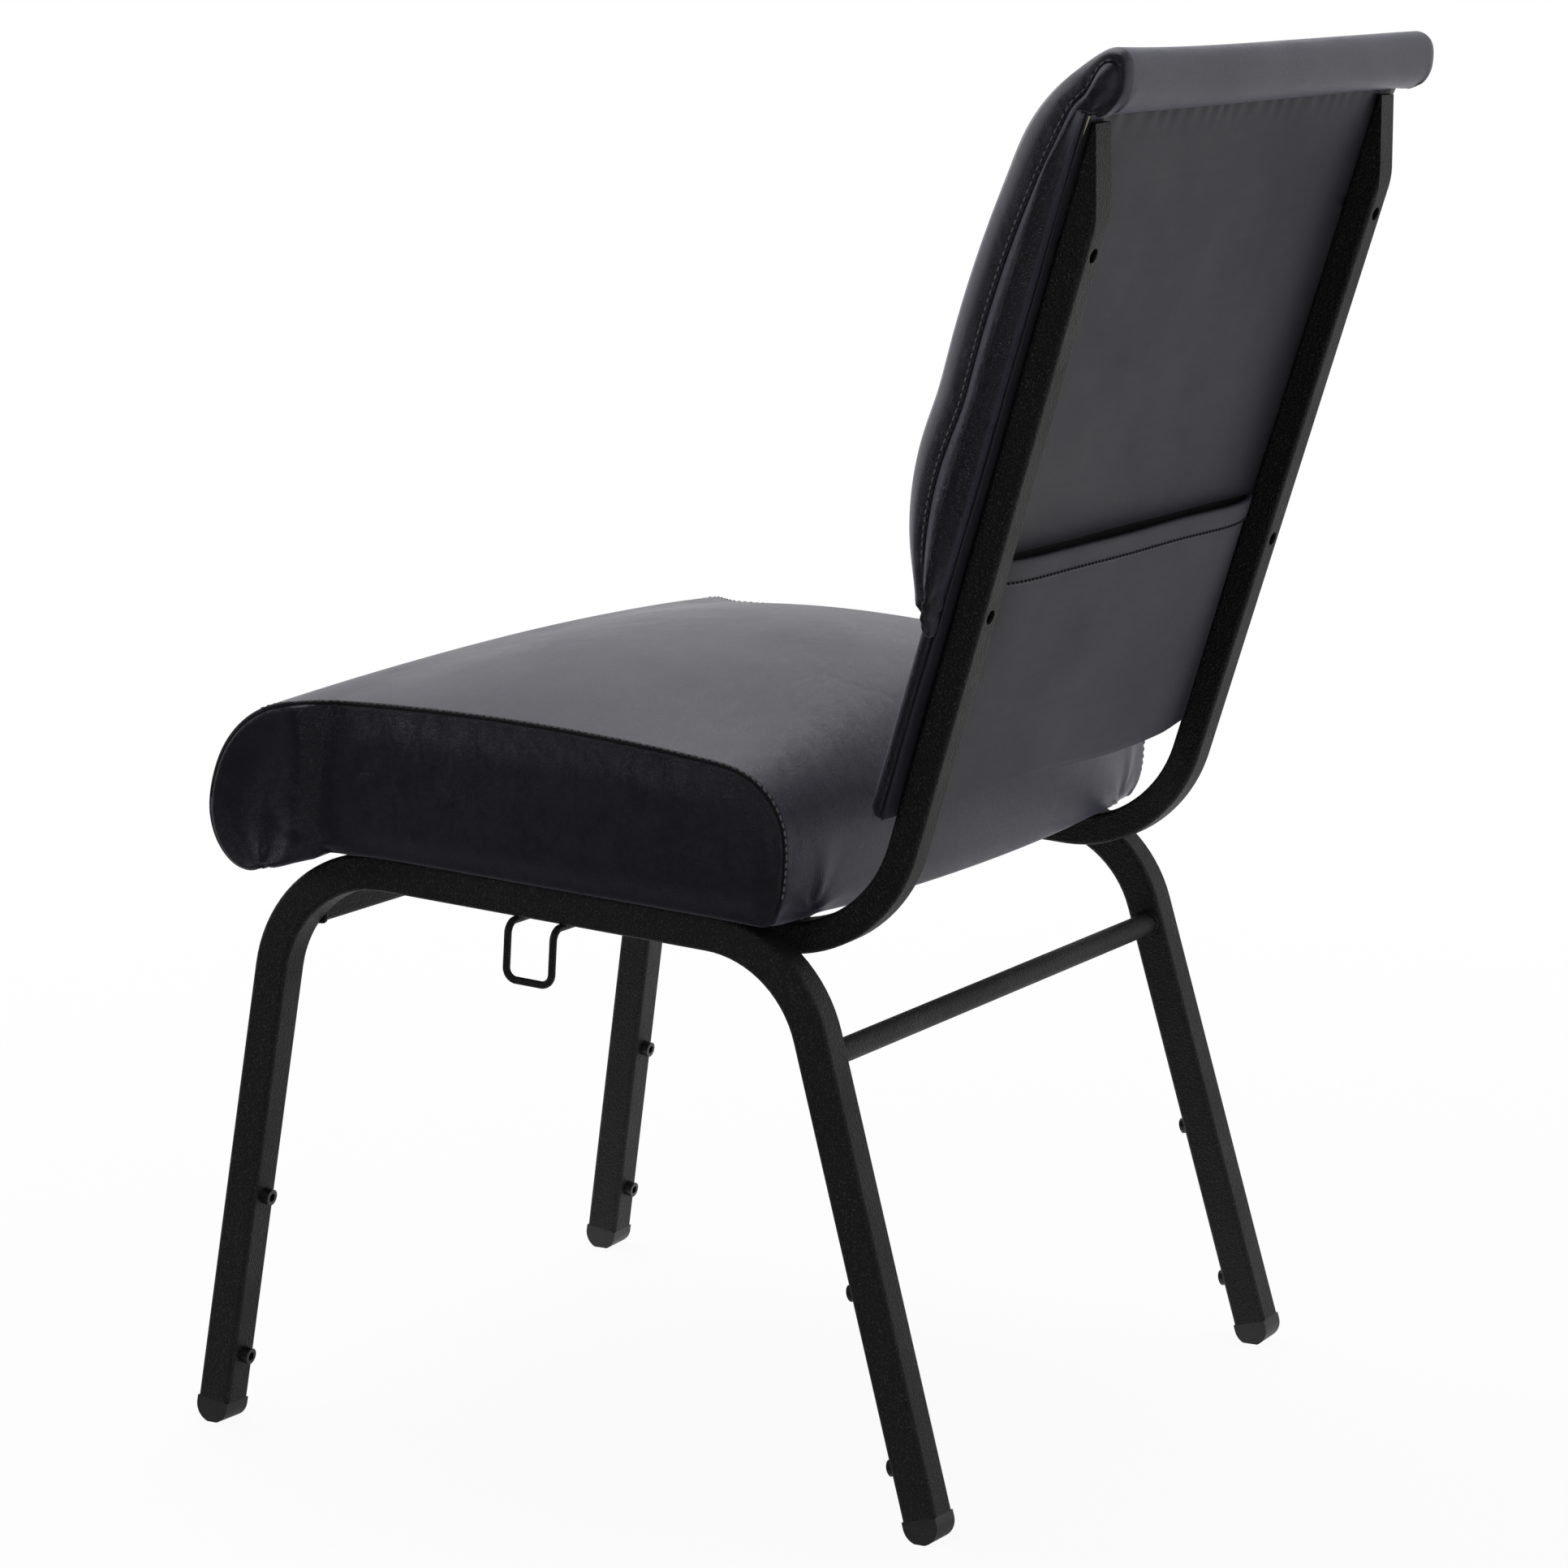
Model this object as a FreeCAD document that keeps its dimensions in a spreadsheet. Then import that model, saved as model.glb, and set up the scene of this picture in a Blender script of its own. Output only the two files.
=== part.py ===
import FreeCAD, Part
import math
import os
import Sketcher

# Choir chair, millimetres and degrees. The origin is on the floor, under the middle of its plan.
# X runs to the sitter's left, the chair faces -Y and Z is up. Sizes along Y count from midway
# between the feet, and the finished chair is then centred over the origin.

doc = FreeCAD.newDocument("choir_chair")
sizes = doc.addObject("Spreadsheet::Sheet", "Sizes")
derived = doc.addObject("Spreadsheet::Sheet", "Derived")

DRIVING = {
    "foot_half_track": 232.3,
    "foot_half_spread": 246.9,
    "leg_splay": 1.78,
    "front_leg_rake": 8.69,
    "rear_leg_rake": 15.71,
    "rail_height": 345.0,
    "rail_fall": 3.46,
    "leg_tube": 22.2,
    "leg_tube_wall": 1.6,
    "leg_tube_corner": 3.0,
    "leg_bend_radius": 76.2,
    "cross_tube": 19.05,
    "cross_tube_wall": 1.5,
    "cross_tube_corner": 2.5,
    "cross_rail_turn": 30.0,
    "stretcher_diameter": 14.3,
    "stretcher_wall": 1.4,
    "stretcher_height": 271.5,
    "strap_width": 38.0,
    "strap_thickness": 4.6,
    "front_strap_place": -20.0,
    "rear_strap_place": 96.0,
    "upright_tube": 19.05,
    "upright_wall": 1.5,
    "upright_corner": 2.5,
    "upright_rail_gap": 8.65,
    "upright_flare": 1.1,
    "upright_bend_radius": 82.0,
    "upright_run_end": -45.0,
    "upright_top_height": 803.0,
    "back_foot": 194.7,
    "back_recline": 17.2,
    "tab_thickness": 3.0,
    "tab_curve_radius": 60.0,
    "tab_taper": 17.5,
    "glide_height": 14.0,
    "glide_flat_depth": 0.8,
    "glide_edge_radius": 1.6,
    "glide_stem_length": 22.0,
    "glide_stem_clearance": 0.15,
    "stud_head": 10.0,
    "stud_head_height": 5.5,
    "stud_shank": 5.0,
    "stud_shank_length": 8.0,
    "stud_socket": 5.0,
    "stud_socket_depth": 3.0,
    "stud_hole_clearance": 0.2,
    "stud_upper_reach": 147.3,
    "stud_lower_reach": 44.6,
    "wire": 4.5,
    "wire_bend_radius": 7.0,
    "wire_arm_length": 31.0,
    "wire_side_gap": 0.6,
    "ganging_place": -16.0,
    "loop_width": 31.0,
    "loop_drop": 34.0,
    "hook_width": 19.0,
    "hook_drop": 24.0,
    "soft_clearance": 0.3,
    "seat_half_width": 240.0,
    "seat_wing_half_width": 257.0,
    "seat_front": -237.0,
    "seat_rear": 171.0,
    "seat_side_height": 92.5,
    "seat_crown": 27.0,
    "seat_lip_drop": 20.0,
    "seat_rear_bow": 18.0,
    "seat_front_bow": 6.0,
    "seat_cover_wall": 5.0,
    "seat_edge_roll": 46.0,
    "seat_edge_tuck": 9.0,
    "seat_wing_length": 74.0,
    "seat_wing_root": 30.0,
    "seat_board_thickness": 12.0,
    "seat_board_half_width": 230.0,
    "seat_board_front": -178.0,
    "seat_board_rear": 148.0,
    "seat_board_corner": 30.0,
    "dust_cloth_thickness": 0.8,
    "cloth_hem": 8.0,
    "seat_screw": 6.0,
    "seat_screw_head": 12.0,
    "seat_screw_head_height": 3.4,
    "seat_screw_socket": 4.0,
    "seat_screw_socket_depth": 2.0,
    "seat_screw_half_gap": 150.0,
    "screw_hole_clearance": 0.25,
    "thread_clearance": 0.15,
    "tee_barrel": 8.0,
    "tee_flange": 19.0,
    "tee_flange_thickness": 1.5,
    "tee_short": 1.0,
    "rear_cover_thickness": 1.6,
    "back_board_thickness": 7.0,
    "back_board_side_margin": 20.7019,
    "back_board_bottom": 70.0,
    "back_board_top": 486.0,
    "back_board_corner": 14.0,
    "rear_cover_margin": 3.5,
    "lower_pad_wrap": 4.0,
    "lower_pad_thickness": 1.8,
    "back_side_padding": 10.0,
    "back_bottom": 178.0,
    "back_top": 522.0,
    "back_cover_wall": 5.0,
    "back_side_depth": 32.9,
    "back_top_dip": 5.0,
    "back_crown": 31.0,
    "back_wrap": 7.0,
    "roll_overhang": 21.0,
    "roll_height": 38.0,
    "back_screw": 5.0,
    "back_screw_head": 8.0,
    "back_screw_head_height": 4.0,
    "back_screw_socket": 4.0,
    "back_screw_socket_depth": 2.4,
    "back_access_hole": 8.6,
    "back_upper_screw": 408.0,
    "back_lower_screw": 195.0,
    "pocket_upright_gap": 8.2981,
    "pocket_mouth": 219.0,
    "pocket_bottom": 64.0,
    "pocket_gap": 7.0,
    "pocket_foot_gap": 2.0,
    "pocket_thickness": 1.6,
}

DERIVED = {
    "tan_fall": "tan(Sizes.rail_fall)",
    "front_corner_height":
        "(Sizes.rail_height + tan_fall * Sizes.foot_half_spread)"
        " / (1 + tan_fall * tan(Sizes.front_leg_rake))",
    "front_corner_place": "-Sizes.foot_half_spread + tan(Sizes.front_leg_rake) * front_corner_height",
    "rear_corner_height":
        "(Sizes.rail_height - tan_fall * Sizes.foot_half_spread)"
        " / (1 - tan_fall * tan(Sizes.rear_leg_rake))",
    "rear_corner_place": "Sizes.foot_half_spread - tan(Sizes.rear_leg_rake) * rear_corner_height",
    "front_turn": "90 - Sizes.front_leg_rake + Sizes.rail_fall",
    "front_bend_run": "Sizes.leg_bend_radius * tan(front_turn / 2)",
    "front_bend_place":
        "front_corner_place - front_bend_run * sin(Sizes.front_leg_rake)"
        " + Sizes.leg_bend_radius * cos(Sizes.front_leg_rake)",
    "front_bend_height":
        "front_corner_height - front_bend_run * cos(Sizes.front_leg_rake)"
        " - Sizes.leg_bend_radius * sin(Sizes.front_leg_rake)",
    "cross_rail_place":
        "front_bend_place - Sizes.leg_bend_radius * cos(Sizes.front_leg_rake + Sizes.cross_rail_turn)",
    "cross_rail_height":
        "front_bend_height + Sizes.leg_bend_radius * sin(Sizes.front_leg_rake + Sizes.cross_rail_turn)",
    "stretcher_place": "Sizes.foot_half_spread - tan(Sizes.rear_leg_rake) * Sizes.stretcher_height",
    "run_drop":
        "Sizes.leg_tube / 2 - Sizes.strap_thickness - Sizes.upright_tube / 2"
        " - Sizes.upright_tube / 2 * sin(Sizes.upright_flare)",
    "run_level": "run_drop / cos(Sizes.rail_fall)",
    "run_corner_level":
        "(run_level - tan_fall * Sizes.back_foot) / (1 + tan_fall * tan(Sizes.back_recline))",
    "run_corner_place": "Sizes.back_foot + tan(Sizes.back_recline) * run_corner_level",
    "upright_length": "(Sizes.upright_top_height - Sizes.rail_height) / cos(Sizes.back_recline)",
    "curve_depth": "Sizes.tab_curve_radius * (1 - cos(Sizes.tab_taper))",
    "taper_length":
        "Sizes.tab_curve_radius * sin(Sizes.tab_taper)"
        " + (Sizes.upright_tube - Sizes.tab_thickness - curve_depth) / tan(Sizes.tab_taper)",
    "taper_start": "upright_length - taper_length",
    "frame_top": "Sizes.leg_tube / 2",
    "cloth_base": "Sizes.leg_tube / 2 + Sizes.soft_clearance",
    "board_base": "cloth_base + Sizes.dust_cloth_thickness + Sizes.soft_clearance",
    "board_top": "board_base + Sizes.seat_board_thickness",
    "rail_inner_gap":
        "Sizes.foot_half_track - tan(Sizes.leg_splay) * Sizes.rail_height"
        " - Sizes.leg_tube / 2 / cos(Sizes.leg_splay)",
    "upright_half_gap": "rail_inner_gap - Sizes.upright_rail_gap - Sizes.upright_tube / 2",
    "back_board_half_width": "upright_half_gap + Sizes.back_board_side_margin",
    "back_half_width": "back_board_half_width + Sizes.back_side_padding",
    "pocket_half_width": "upright_half_gap - Sizes.pocket_upright_gap",
    "back_face": "-Sizes.upright_tube / 2 - Sizes.soft_clearance",
    "back_board_rear": "back_face - Sizes.rear_cover_thickness - Sizes.soft_clearance",
    "back_board_front": "back_board_rear - Sizes.back_board_thickness",
    "plan_shift": "0",
}


def fill(sheet, rows, as_formula):
    for row, (name, entry) in enumerate(rows.items(), 1):
        sheet.set("A%d" % row, name)
        sheet.set("B%d" % row, "=" + entry if as_formula else str(entry))
        sheet.setAlias("B%d" % row, name)


fill(sizes, DRIVING, False)
doc.recompute()
fill(derived, DERIVED, True)
doc.recompute()


def amount(expression):
    """The number that an expression on the sheets stands for."""
    return float(sizes.evalExpression(expression))


def size(name):
    return amount("Sizes." + name)


def worked(name):
    return amount("Derived." + name)


def bind(thing, links):
    for path, expression in links.items():
        thing.setExpression(path, expression)


def new_body(name, several=False):
    body = doc.addObject("PartDesign::Body", name)
    body.Label = name
    body.AllowCompound = several
    return body


def place(thing, x="0", y="0", z="0", axis=None, angle="0"):
    """Bind an object's position and one turn about an axis to the sheets."""
    y = "%s + Derived.plan_shift" % y
    turn = FreeCAD.Rotation(axis or FreeCAD.Vector(0, 0, 1), amount(angle))
    thing.Placement = FreeCAD.Placement(FreeCAD.Vector(amount(x), amount(y), amount(z)), turn)
    links = {"Placement.Base.x": x, "Placement.Base.y": y, "Placement.Base.z": z}
    if axis:
        links["Placement.Rotation.Angle"] = angle
    bind(thing, links)


ALONG_X = FreeCAD.Vector(1, 0, 0)
ALONG_Y = FreeCAD.Vector(0, 1, 0)


def place_in_side_frame(thing, side):
    """Stand an object in a side frame's plane, which leans outwards to the floor."""
    place(thing, x="%d * Sizes.foot_half_track" % side, axis=ALONG_Y, angle="%d * Sizes.leg_splay" % -side)


def place_on_rails(thing, x="0"):
    """Lay an object along the seat rails, with Z square to them."""
    place(thing, x=x, z="Sizes.rail_height", axis=ALONG_X, angle="-Sizes.rail_fall")


def place_on_back(thing, x="0"):
    """Lean an object with the back: Z runs up the uprights and Y points behind them."""
    place(thing, x=x, y="Sizes.back_foot", z="Sizes.rail_height", axis=ALONG_X, angle="-Sizes.back_recline")


def sketch_on(body, name, role, x="0", y="0", z="0", axis=None, angle="0"):
    """A sketch on one of the body's origin planes, moved and turned by bound amounts."""
    sketch = body.newObject("Sketcher::SketchObject", name)
    plane = [feature for feature in body.Origin.OriginFeatures if feature.Role == role][0]
    sketch.AttachmentSupport = [(plane, "")]
    sketch.MapMode = "FlatFace"
    turn = FreeCAD.Rotation(axis or FreeCAD.Vector(0, 0, 1), amount(angle))
    sketch.AttachmentOffset = FreeCAD.Placement(FreeCAD.Vector(amount(x), amount(y), amount(z)), turn)
    links = {}
    for letter, expression in (("x", x), ("y", y), ("z", z)):
        if expression != "0":
            links["AttachmentOffset.Base." + letter] = expression
    if axis:
        links["AttachmentOffset.Rotation.Angle"] = angle
    bind(sketch, links)
    return sketch


def constrain(sketch, kind, *where, expression=None):
    if expression is None:
        return sketch.addConstraint(Sketcher.Constraint(kind, *where))
    index = sketch.addConstraint(Sketcher.Constraint(kind, *where, amount(expression)))
    sketch.setExpression("Constraints[%d]" % index, expression)
    return index


def pin(sketch, geometry, end, x, y):
    constrain(sketch, "DistanceX", geometry, end, expression=x)
    constrain(sketch, "DistanceY", geometry, end, expression=y)


def bent_path(sketch, corners, radius):
    """Straight runs through the corners, joined by tangent arcs of one radius."""
    points = [FreeCAD.Vector(amount(x), amount(y), 0) for x, y in corners]
    bend = amount(radius)
    joints = []
    for before, here, after in zip(points, points[1:], points[2:]):
        back = (before - here).normalize()
        ahead = (after - here).normalize()
        half = (math.pi - back.getAngle(ahead)) / 2
        start = here + back * (bend * math.tan(half))
        end = here + ahead * (bend * math.tan(half))
        centre = here + (back + ahead).normalize() * (bend / math.cos(half))
        turns_left = back.cross(ahead).z < 0
        joints.append((start, end, centre, turns_left))
    starts = [points[0]] + [joint[1] for joint in joints]
    ends = [joint[0] for joint in joints] + [points[-1]]
    lines = [sketch.addGeometry(Part.LineSegment(a, b)) for a, b in zip(starts, ends)]
    arcs = []
    for start, end, centre, turns_left in joints:
        first, last = (start, end) if turns_left else (end, start)
        a = math.atan2(first.y - centre.y, first.x - centre.x)
        b = math.atan2(last.y - centre.y, last.x - centre.x)
        if b < a:
            b += 2 * math.pi
        circle = Part.Circle(centre, FreeCAD.Vector(0, 0, 1), bend)
        arcs.append(sketch.addGeometry(Part.ArcOfCircle(circle, a, b)))
    for number, arc in enumerate(arcs):
        turns_left = joints[number][3]
        constrain(sketch, "Tangent", lines[number], 2, arc, 1 if turns_left else 2)
        constrain(sketch, "Tangent", lines[number + 1], 1, arc, 2 if turns_left else 1)
        constrain(sketch, "Radius", arc, expression=radius)
        corner = sketch.addGeometry(Part.Point(points[number + 1]), True)
        pin(sketch, corner, 1, *corners[number + 1])
        constrain(sketch, "PointOnObject", corner, 1, lines[number])
        constrain(sketch, "PointOnObject", corner, 1, lines[number + 1])
    pin(sketch, lines[0], 1, *corners[0])
    pin(sketch, lines[-1], 2, *corners[-1])


def rounded_square(sketch, width, corner):
    """A square about the sketch's origin, with rounded corners."""
    half = amount(width) / 2
    round_off = amount(corner)
    flat = half - round_off
    sides = []
    arcs = []
    for quarter in range(4):
        turn = FreeCAD.Rotation(FreeCAD.Vector(0, 0, 1), 90 * quarter)
        a = turn.multVec(FreeCAD.Vector(-flat, -half, 0))
        b = turn.multVec(FreeCAD.Vector(flat, -half, 0))
        sides.append(sketch.addGeometry(Part.LineSegment(a, b)))
    for quarter in range(4):
        turn = FreeCAD.Rotation(FreeCAD.Vector(0, 0, 1), 90 * quarter)
        circle = Part.Circle(turn.multVec(FreeCAD.Vector(flat, -flat, 0)), FreeCAD.Vector(0, 0, 1), round_off)
        start = math.radians(90 * (quarter - 1))
        arcs.append(sketch.addGeometry(Part.ArcOfCircle(circle, start, start + math.pi / 2)))
    for quarter in range(4):
        constrain(sketch, "Tangent", sides[quarter], 2, arcs[quarter], 1)
        constrain(sketch, "Tangent", arcs[quarter], 2, sides[(quarter + 1) % 4], 1)
        constrain(sketch, "Radius", arcs[quarter], expression=corner)
        constrain(sketch, "Vertical" if quarter % 2 else "Horizontal", sides[quarter])
    constrain(sketch, "DistanceY", sides[0], 1, expression="-(%s) / 2" % width)
    constrain(sketch, "DistanceX", sides[1], 1, expression="(%s) / 2" % width)
    constrain(sketch, "DistanceY", sides[2], 1, expression="(%s) / 2" % width)
    constrain(sketch, "DistanceX", sides[3], 1, expression="-(%s) / 2" % width)


def circle(sketch, x, y, diameter):
    centre = FreeCAD.Vector(amount(x), amount(y), 0)
    ring = sketch.addGeometry(Part.Circle(centre, FreeCAD.Vector(0, 0, 1), amount(diameter) / 2))
    pin(sketch, ring, 3, x, y)
    constrain(sketch, "Diameter", ring, expression=diameter)


def polygon(sketch, corners):
    points = [FreeCAD.Vector(amount(x), amount(y), 0) for x, y in corners]
    edges = [
        sketch.addGeometry(Part.LineSegment(points[k], points[(k + 1) % len(points)]))
        for k in range(len(points))
    ]
    for k, (x, y) in enumerate(corners):
        constrain(sketch, "Coincident", edges[k - 1], 2, edges[k], 1)
        pin(sketch, edges[k], 1, x, y)


def rectangle(sketch, left, bottom, right, top):
    polygon(sketch, [(left, bottom), (right, bottom), (right, top), (left, top)])


def hexagon(sketch, x, y, across_flats):
    """A hexagon by its width across flats, about a bound centre."""
    corners = []
    for k in range(6):
        angle = 60 * k + 30
        reach = "(%s) / 2 / cos(30)" % across_flats
        corners.append(("%s + %s * cos(%d)" % (x, reach, angle), "%s + %s * sin(%d)" % (y, reach, angle)))
    polygon(sketch, corners)


def feature(body, kind, name, profile, **settings):
    item = body.newObject("PartDesign::" + kind, name)
    item.Profile = profile
    links = settings.pop("links", {})
    for key, setting in settings.items():
        setattr(item, key, setting)
    bind(item, links)
    profile.Visibility = False
    body.Tip = item
    return item


def pad(body, name, profile, length, **settings):
    return feature(body, "Pad", name, profile, links={"Length": length}, **settings)


def cut_through(body, name, profile, both=True, **settings):
    settings["Type"] = "ThroughAll"
    settings["SideType"] = "Symmetric" if both else "One side"
    return feature(body, "Pocket", name, profile, **settings)


def pipe(body, name, profile, path, hollow=False):
    return feature(body, "SubtractivePipe" if hollow else "AdditivePipe", name, profile, Spine=path)


def bore_corner(corner, wall):
    """The inside corner radius of a tube, never sharper than the wall allows."""
    return "max(Sizes.%s - Sizes.%s; 0.4)" % (corner, wall)


FRONT = "front"
REAR = "rear"
LEG_RAKE = {FRONT: "-Sizes.front_leg_rake", REAR: "Sizes.rear_leg_rake"}
FOOT = {FRONT: "-Sizes.foot_half_spread", REAR: "Sizes.foot_half_spread"}
SIDES = {"left": 1, "right": -1}


def leg_axis_point(end, height):
    """In a side frame's plane, the point of a leg's axis at a height over the floor."""
    return "%s - tan(%s) * (%s)" % (FOOT[end], LEG_RAKE[end], height), "(%s) / cos(Sizes.leg_splay)" % height


def leg_face_sketch(body, name, end, shift="0"):
    """A sketch along a leg's axis, shifted towards the middle of the chair."""
    inward = -1 if end == FRONT else 1
    return sketch_on(
        body, name, "XZ_Plane",
        y="%d * (%s) * sin(%s)" % (-inward, shift, LEG_RAKE[end]),
        z="-(%s) + %d * (%s) * cos(%s)" % (FOOT[end], inward, shift, LEG_RAKE[end]),
        axis=ALONG_X, angle=LEG_RAKE[end],
    )


STUD_REACHES = ("Sizes.stud_upper_reach", "Sizes.stud_lower_reach")


def leg_frame(side_name, side):
    body = new_body(side_name + "_leg_frame")
    path = sketch_on(body, side_name + "_frame_path", "YZ_Plane")
    front_foot = leg_axis_point(FRONT, "Sizes.glide_height")
    rear_foot = leg_axis_point(REAR, "Sizes.glide_height")
    corners = [
        front_foot,
        ("Derived.front_corner_place", "Derived.front_corner_height / cos(Sizes.leg_splay)"),
        ("Derived.rear_corner_place", "Derived.rear_corner_height / cos(Sizes.leg_splay)"),
        rear_foot,
    ]
    bent_path(path, corners, "Sizes.leg_bend_radius")
    section = sketch_on(
        body, side_name + "_frame_section", "XY_Plane",
        y=front_foot[0], z=front_foot[1], axis=ALONG_X, angle="-Sizes.front_leg_rake",
    )
    rounded_square(section, "Sizes.leg_tube", "Sizes.leg_tube_corner")
    rounded_square(
        section, "(Sizes.leg_tube - 2 * Sizes.leg_tube_wall)", bore_corner("leg_tube_corner", "leg_tube_wall")
    )
    pipe(body, side_name + "_frame_tube", section, path)
    for end in (FRONT, REAR):
        holes = leg_face_sketch(body, "%s_%s_stud_holes" % (side_name, end), end)
        for reach in STUD_REACHES:
            circle(holes, "0", reach, "Sizes.stud_shank + 2 * Sizes.stud_hole_clearance")
        feature(
            body, "Pocket", "%s_%s_stud_bores" % (side_name, end), holes, Reversed=end == REAR,
            links={"Length": "Sizes.leg_tube"},
        )
    place_in_side_frame(body, side)
    return body


def studs(side_name, side, end):
    """Two socket-headed studs on the inward face of a leg."""
    name = "%s_%s_leg_studs" % (side_name, end)
    body = new_body(name, several=True)
    heads = leg_face_sketch(body, name + "_heads", end, "Sizes.leg_tube / 2")
    shanks = leg_face_sketch(body, name + "_shanks", end, "Sizes.leg_tube / 2")
    sockets = leg_face_sketch(body, name + "_sockets", end, "Sizes.leg_tube / 2 + Sizes.stud_head_height")
    for reach in STUD_REACHES:
        circle(heads, "0", reach, "Sizes.stud_head")
        circle(shanks, "0", reach, "Sizes.stud_shank")
        hexagon(sockets, "0", reach, "Sizes.stud_socket")
    outward = end == FRONT
    pad(body, name + "_head", heads, "Sizes.stud_head_height", Reversed=outward)
    pad(body, name + "_shank", shanks, "Sizes.stud_shank_length", Reversed=not outward)
    feature(
        body, "Pocket", name + "_socket", sockets, Reversed=outward,
        links={"Length": "Sizes.stud_socket_depth"},
    )
    place_in_side_frame(body, side)
    return body


def glide(side_name, side, end):
    """A plastic foot with a half-round sole, plugged into a leg and levelled on the floor."""
    name = "%s_%s_glide" % (side_name, end)
    body = new_body(name + "_blank")
    radius = "Sizes.leg_tube / 2"
    axis_place, axis_height = leg_axis_point(end, "%s - Sizes.glide_flat_depth" % radius)
    top_place, top_height = leg_axis_point(end, "Sizes.glide_height")
    sole = sketch_on(
        body, name + "_sole", "YZ_Plane", x=axis_place, y=axis_height,
        axis=FreeCAD.Vector(0, 0, 1), angle=LEG_RAKE[end],
    )
    half = amount(radius)
    rise = "(Sizes.glide_height - %s + Sizes.glide_flat_depth) / cos(Sizes.leg_splay) / cos(%s)" % (
        radius, LEG_RAKE[end])
    level = amount(rise)
    bottom = Part.Circle(FreeCAD.Vector(0, 0, 0), FreeCAD.Vector(0, 0, 1), half)
    arc = sole.addGeometry(Part.ArcOfCircle(bottom, math.pi, 2 * math.pi))
    right = sole.addGeometry(Part.LineSegment(FreeCAD.Vector(half, 0, 0), FreeCAD.Vector(half, level, 0)))
    top = sole.addGeometry(Part.LineSegment(FreeCAD.Vector(half, level, 0), FreeCAD.Vector(-half, level, 0)))
    left = sole.addGeometry(Part.LineSegment(FreeCAD.Vector(-half, level, 0), FreeCAD.Vector(-half, 0, 0)))
    constrain(sole, "Coincident", arc, 2, right, 1)
    constrain(sole, "Coincident", right, 2, top, 1)
    constrain(sole, "Coincident", top, 2, left, 1)
    constrain(sole, "Coincident", left, 2, arc, 1)
    pin(sole, arc, 3, "0", "0")
    pin(sole, right, 1, radius, "0")
    pin(sole, right, 2, radius, rise)
    pin(sole, top, 2, "-" + radius, rise)
    constrain(sole, "DistanceY", left, 2, expression="0")
    pad(body, name + "_foot", sole, "Sizes.leg_tube", SideType="Symmetric")
    stem = sketch_on(
        body, name + "_stem", "XY_Plane", y=top_place, z=top_height, axis=ALONG_X, angle=LEG_RAKE[end],
    )
    rounded_square(
        stem, "(Sizes.leg_tube - 2 * Sizes.leg_tube_wall - 2 * Sizes.glide_stem_clearance)",
        bore_corner("leg_tube_corner", "leg_tube_wall"),
    )
    pad(body, name + "_plug", stem, "Sizes.glide_stem_length")
    place_in_side_frame(body, side)
    floor = doc.addObject("Part::Box", name + "_floor")
    bind(floor, {"Length": "Sizes.leg_tube * 3", "Width": "Sizes.leg_tube * 3", "Height": "Sizes.leg_tube"})
    place(
        floor, x="%d * Sizes.foot_half_track - Sizes.leg_tube * 1.5" % side,
        y="%s - Sizes.leg_tube * 1.5" % FOOT[end], z="-Sizes.leg_tube",
    )
    level_foot = doc.addObject("Part::Cut", name)
    level_foot.Base = body
    level_foot.Tool = floor
    level_foot.Label = name
    return level_foot


def frame_gap_at(height):
    """Half the gap between the side frames' inner faces at a height over the floor."""
    return (
        "Sizes.foot_half_track - tan(Sizes.leg_splay) * (%s) - Sizes.leg_tube / 2 / cos(Sizes.leg_splay)" % height
    )


def trim_to_frames(body, name, height, reach):
    """Cut a bar's ends to the leaning inner faces of the side frames."""
    ends = sketch_on(body, name + "_end_trim", "XZ_Plane")
    low = "(%s) - (%s)" % (height, reach)
    high = "(%s) + (%s)" % (height, reach)
    for sign in (1, -1):
        corners = [
            ("%d * (%s)" % (sign, frame_gap_at(low)), low),
            ("%d * (Sizes.foot_half_track + Sizes.leg_tube)" % sign, low),
            ("%d * (Sizes.foot_half_track + Sizes.leg_tube)" % sign, high),
            ("%d * (%s)" % (sign, frame_gap_at(high)), high),
        ]
        polygon(ends, corners)
    cut_through(body, name + "_ends", ends)


def front_cross_rail():
    name = "front_cross_rail"
    body = new_body(name)
    height = "Derived.cross_rail_height"
    section = sketch_on(body, name + "_section", "YZ_Plane", x="Derived.cross_rail_place", y=height)
    rounded_square(section, "Sizes.cross_tube", "Sizes.cross_tube_corner")
    rounded_square(
        section, "(Sizes.cross_tube - 2 * Sizes.cross_tube_wall)",
        bore_corner("cross_tube_corner", "cross_tube_wall"),
    )
    pad(body, name + "_tube", section, "2 * Sizes.foot_half_track", SideType="Symmetric")
    trim_to_frames(body, name, height, "Sizes.cross_tube")
    place(body)
    return body


def rear_stretcher():
    name = "rear_stretcher"
    body = new_body(name)
    section = sketch_on(body, name + "_section", "YZ_Plane", x="Derived.stretcher_place", y="Sizes.stretcher_height")
    circle(section, "0", "0", "Sizes.stretcher_diameter")
    circle(section, "0", "0", "Sizes.stretcher_diameter - 2 * Sizes.stretcher_wall")
    pad(body, name + "_tube", section, "2 * Sizes.foot_half_track", SideType="Symmetric")
    trim_to_frames(body, name, "Sizes.stretcher_height", "Sizes.stretcher_diameter")
    place(body)
    return body


SEAT_SCREW_ROWS = ("Sizes.front_strap_place", "Sizes.rear_strap_place")
SEAT_SCREW_COLUMNS = ("-Sizes.seat_screw_half_gap", "Sizes.seat_screw_half_gap")


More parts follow.
